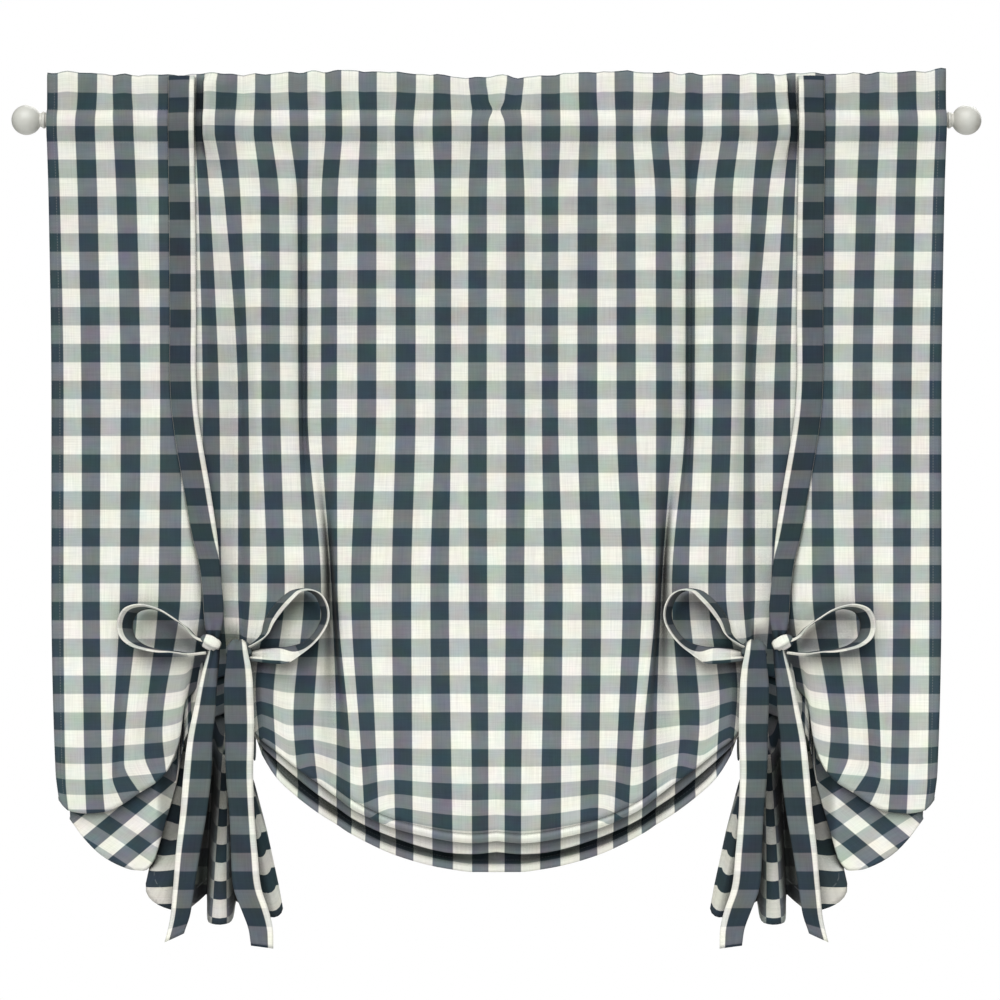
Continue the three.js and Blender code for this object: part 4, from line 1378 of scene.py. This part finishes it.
class SHADE_OT_ties(bpy.types.Operator):
    """Ties the front and back ties in a bow on each side"""

    bl_idname = "shade.tie_bows"
    bl_label = "Tie the bows"

    def execute(self, context):
        cloth = context.scene.shade_cloth
        depth, edge = cloth.tie_depth, cloth.tie_edge
        finish = check_finish("Checked cotton ties", cloth, depth, edge, seams=False)
        thick = cloth.thickness / MM * TIE_LAYERS
        front = [
            strap_shell(STRAP_PATH, thick, STRAP_LIFT),
            loop_shell(OUTER_LOOP, -1, OUTER_LOOP_LIGHT, 0, thick),
            tail_shell(OUTER_TAIL, OUTER_SLANT, -1, thick),
            knot_shell(FRONT_KNOT, FRONT_KNOT_CREASES, FRONT_KNOT_CHECK),
        ]
        back = [
            strap_shell(BACK_PATH, thick, 0),
            loop_shell(INNER_LOOP, 1, INNER_LOOP_LIGHT, INNER_LOOP_SLIDE, thick),
            tail_shell(INNER_TAIL, INNER_SLANT, 1, thick),
            knot_shell(BACK_KNOT, BACK_KNOT_CREASES, BACK_KNOT_CHECK),
        ]
        for word, turned in (("left", False), ("right", True)):
            for place, shells, length in (("front", front, 1.51), ("back", back, 1.62)):
                shells = [mirrored(shell) for shell in shells] if turned else shells
                piece = make_piece(f"{place}_tie_{word}", shells, finish)
                finish_piece(piece, "tie_cloth", f"tie_{place}_{word}")
        return {"FINISHED"}


class SHADE_OT_stage(bpy.types.Operator):
    """Sets the floor, the lights and the camera"""

    bl_idname = "shade.set_stage"
    bl_label = "Set the stage"

    def execute(self, context):
        stage = context.scene.shade_stage
        self.floor()
        key_from = (KEY_SIDE, -math.cos(stage.height), math.sin(stage.height))
        self.light("Key", key_from, stage.key)
        self.light("Back light", BACK_LIGHT_FROM, stage.key * BACK_LIGHT_SHARE)
        self.surround(context, stage.fill)
        self.camera(context, stage)
        context.scene.view_settings.view_transform = "Standard"
        return {"FINISHED"}

    def floor(self):
        rim = FLOOR_RADIUS * np.stack([np.cos(circle(FLOOR_STEPS)), np.sin(circle(FLOOR_STEPS))])
        points = np.transpose([*rim, np.full(FLOOR_STEPS, FLOOR_HEIGHT)])
        mesh = bpy.data.meshes.new("floor")
        mesh.from_pydata(points.tolist(), [], [list(range(FLOOR_STEPS))])
        mesh.materials.append(stage_finish("Pale floor"))
        floor = add_object("floor", mesh)

    def light(self, name, towards, strength):
        """A broad even light from the direction towards."""
        lamp = bpy.data.lights.new(name, "SUN")
        lamp.angle = LIGHT_SPREAD
        lamp.energy = strength
        light = add_object(name, lamp)
        light.rotation_euler = (-Vector(towards)).to_track_quat("-Z", "Y").to_euler()

    def surround(self, context, strength):
        """A white room behind the shade, which lights it softly."""
        world = bpy.data.worlds.new("Soft room")
        nodes = Nodes(world, "ShaderNodeOutputWorld")
        white = {"Color": (1, 1, 1, 1)}
        lighting, seen = (
            nodes.node("ShaderNodeBackground", None, {**white, "Strength": level})
            for level in (strength, 1.0)
        )
        to_camera = nodes.node("ShaderNodeLightPath")
        nodes.end(nodes.node("ShaderNodeMixShader", None, {0: to_camera, 1: lighting, 2: seen}))
        context.scene.world = world

    def camera(self, context, stage):
        lens = bpy.data.cameras.new("Camera")
        lens.angle = 2 * math.atan(stage.view_height / 2 / stage.distance)
        camera = add_object("Camera", lens)
        camera.location = (CAMERA_ACROSS, -stage.distance, CAMERA_HEIGHT)
        camera.rotation_euler = (math.pi / 2, 0, 0)
        context.scene.camera = camera


class SHADE_PT_builder(bpy.types.Panel):
    """Lists the shade's pieces in the order in which they are made"""

    bl_label = "Tie-up shade"
    bl_idname = "SHADE_PT_builder"
    bl_space_type = "VIEW_3D"
    bl_region_type = "UI"
    bl_category = "Shade"

    def draw(self, context):
        for group in ("shade_cloth", "shade_rod", "shade_stage"):
            settings = getattr(context.scene, group)
            box = self.layout.box()
            for name in settings.bl_rna.properties.keys():
                if name not in ("rna_type", "name"):
                    box.prop(settings, name)
        for operator in OPERATORS:
            self.layout.operator(operator.bl_idname)


GROUPS = (("shade_cloth", ShadeCloth), ("shade_rod", ShadeRod), ("shade_stage", ShadeStage))
OPERATORS = (SHADE_OT_rod, SHADE_OT_ball_ends, SHADE_OT_panel, SHADE_OT_ties, SHADE_OT_stage)


def register():
    for name, group in GROUPS:
        bpy.utils.register_class(group)
        setattr(bpy.types.Scene, name, bpy.props.PointerProperty(type=group))
    for cls in (*OPERATORS, SHADE_PT_builder):
        bpy.utils.register_class(cls)


def unregister():
    for cls in (SHADE_PT_builder, *reversed(OPERATORS)):
        bpy.utils.unregister_class(cls)
    for name, group in reversed(GROUPS):
        delattr(bpy.types.Scene, name)
        bpy.utils.unregister_class(group)


def main():
    register()
    bpy.ops.shade.turn_rod()
    bpy.ops.shade.turn_ball_ends()
    bpy.ops.shade.hang_panel()
    bpy.ops.shade.tie_bows()
    bpy.ops.shade.set_stage()
    bpy.context.view_layer.update()


if __name__ == "__main__":
    main()
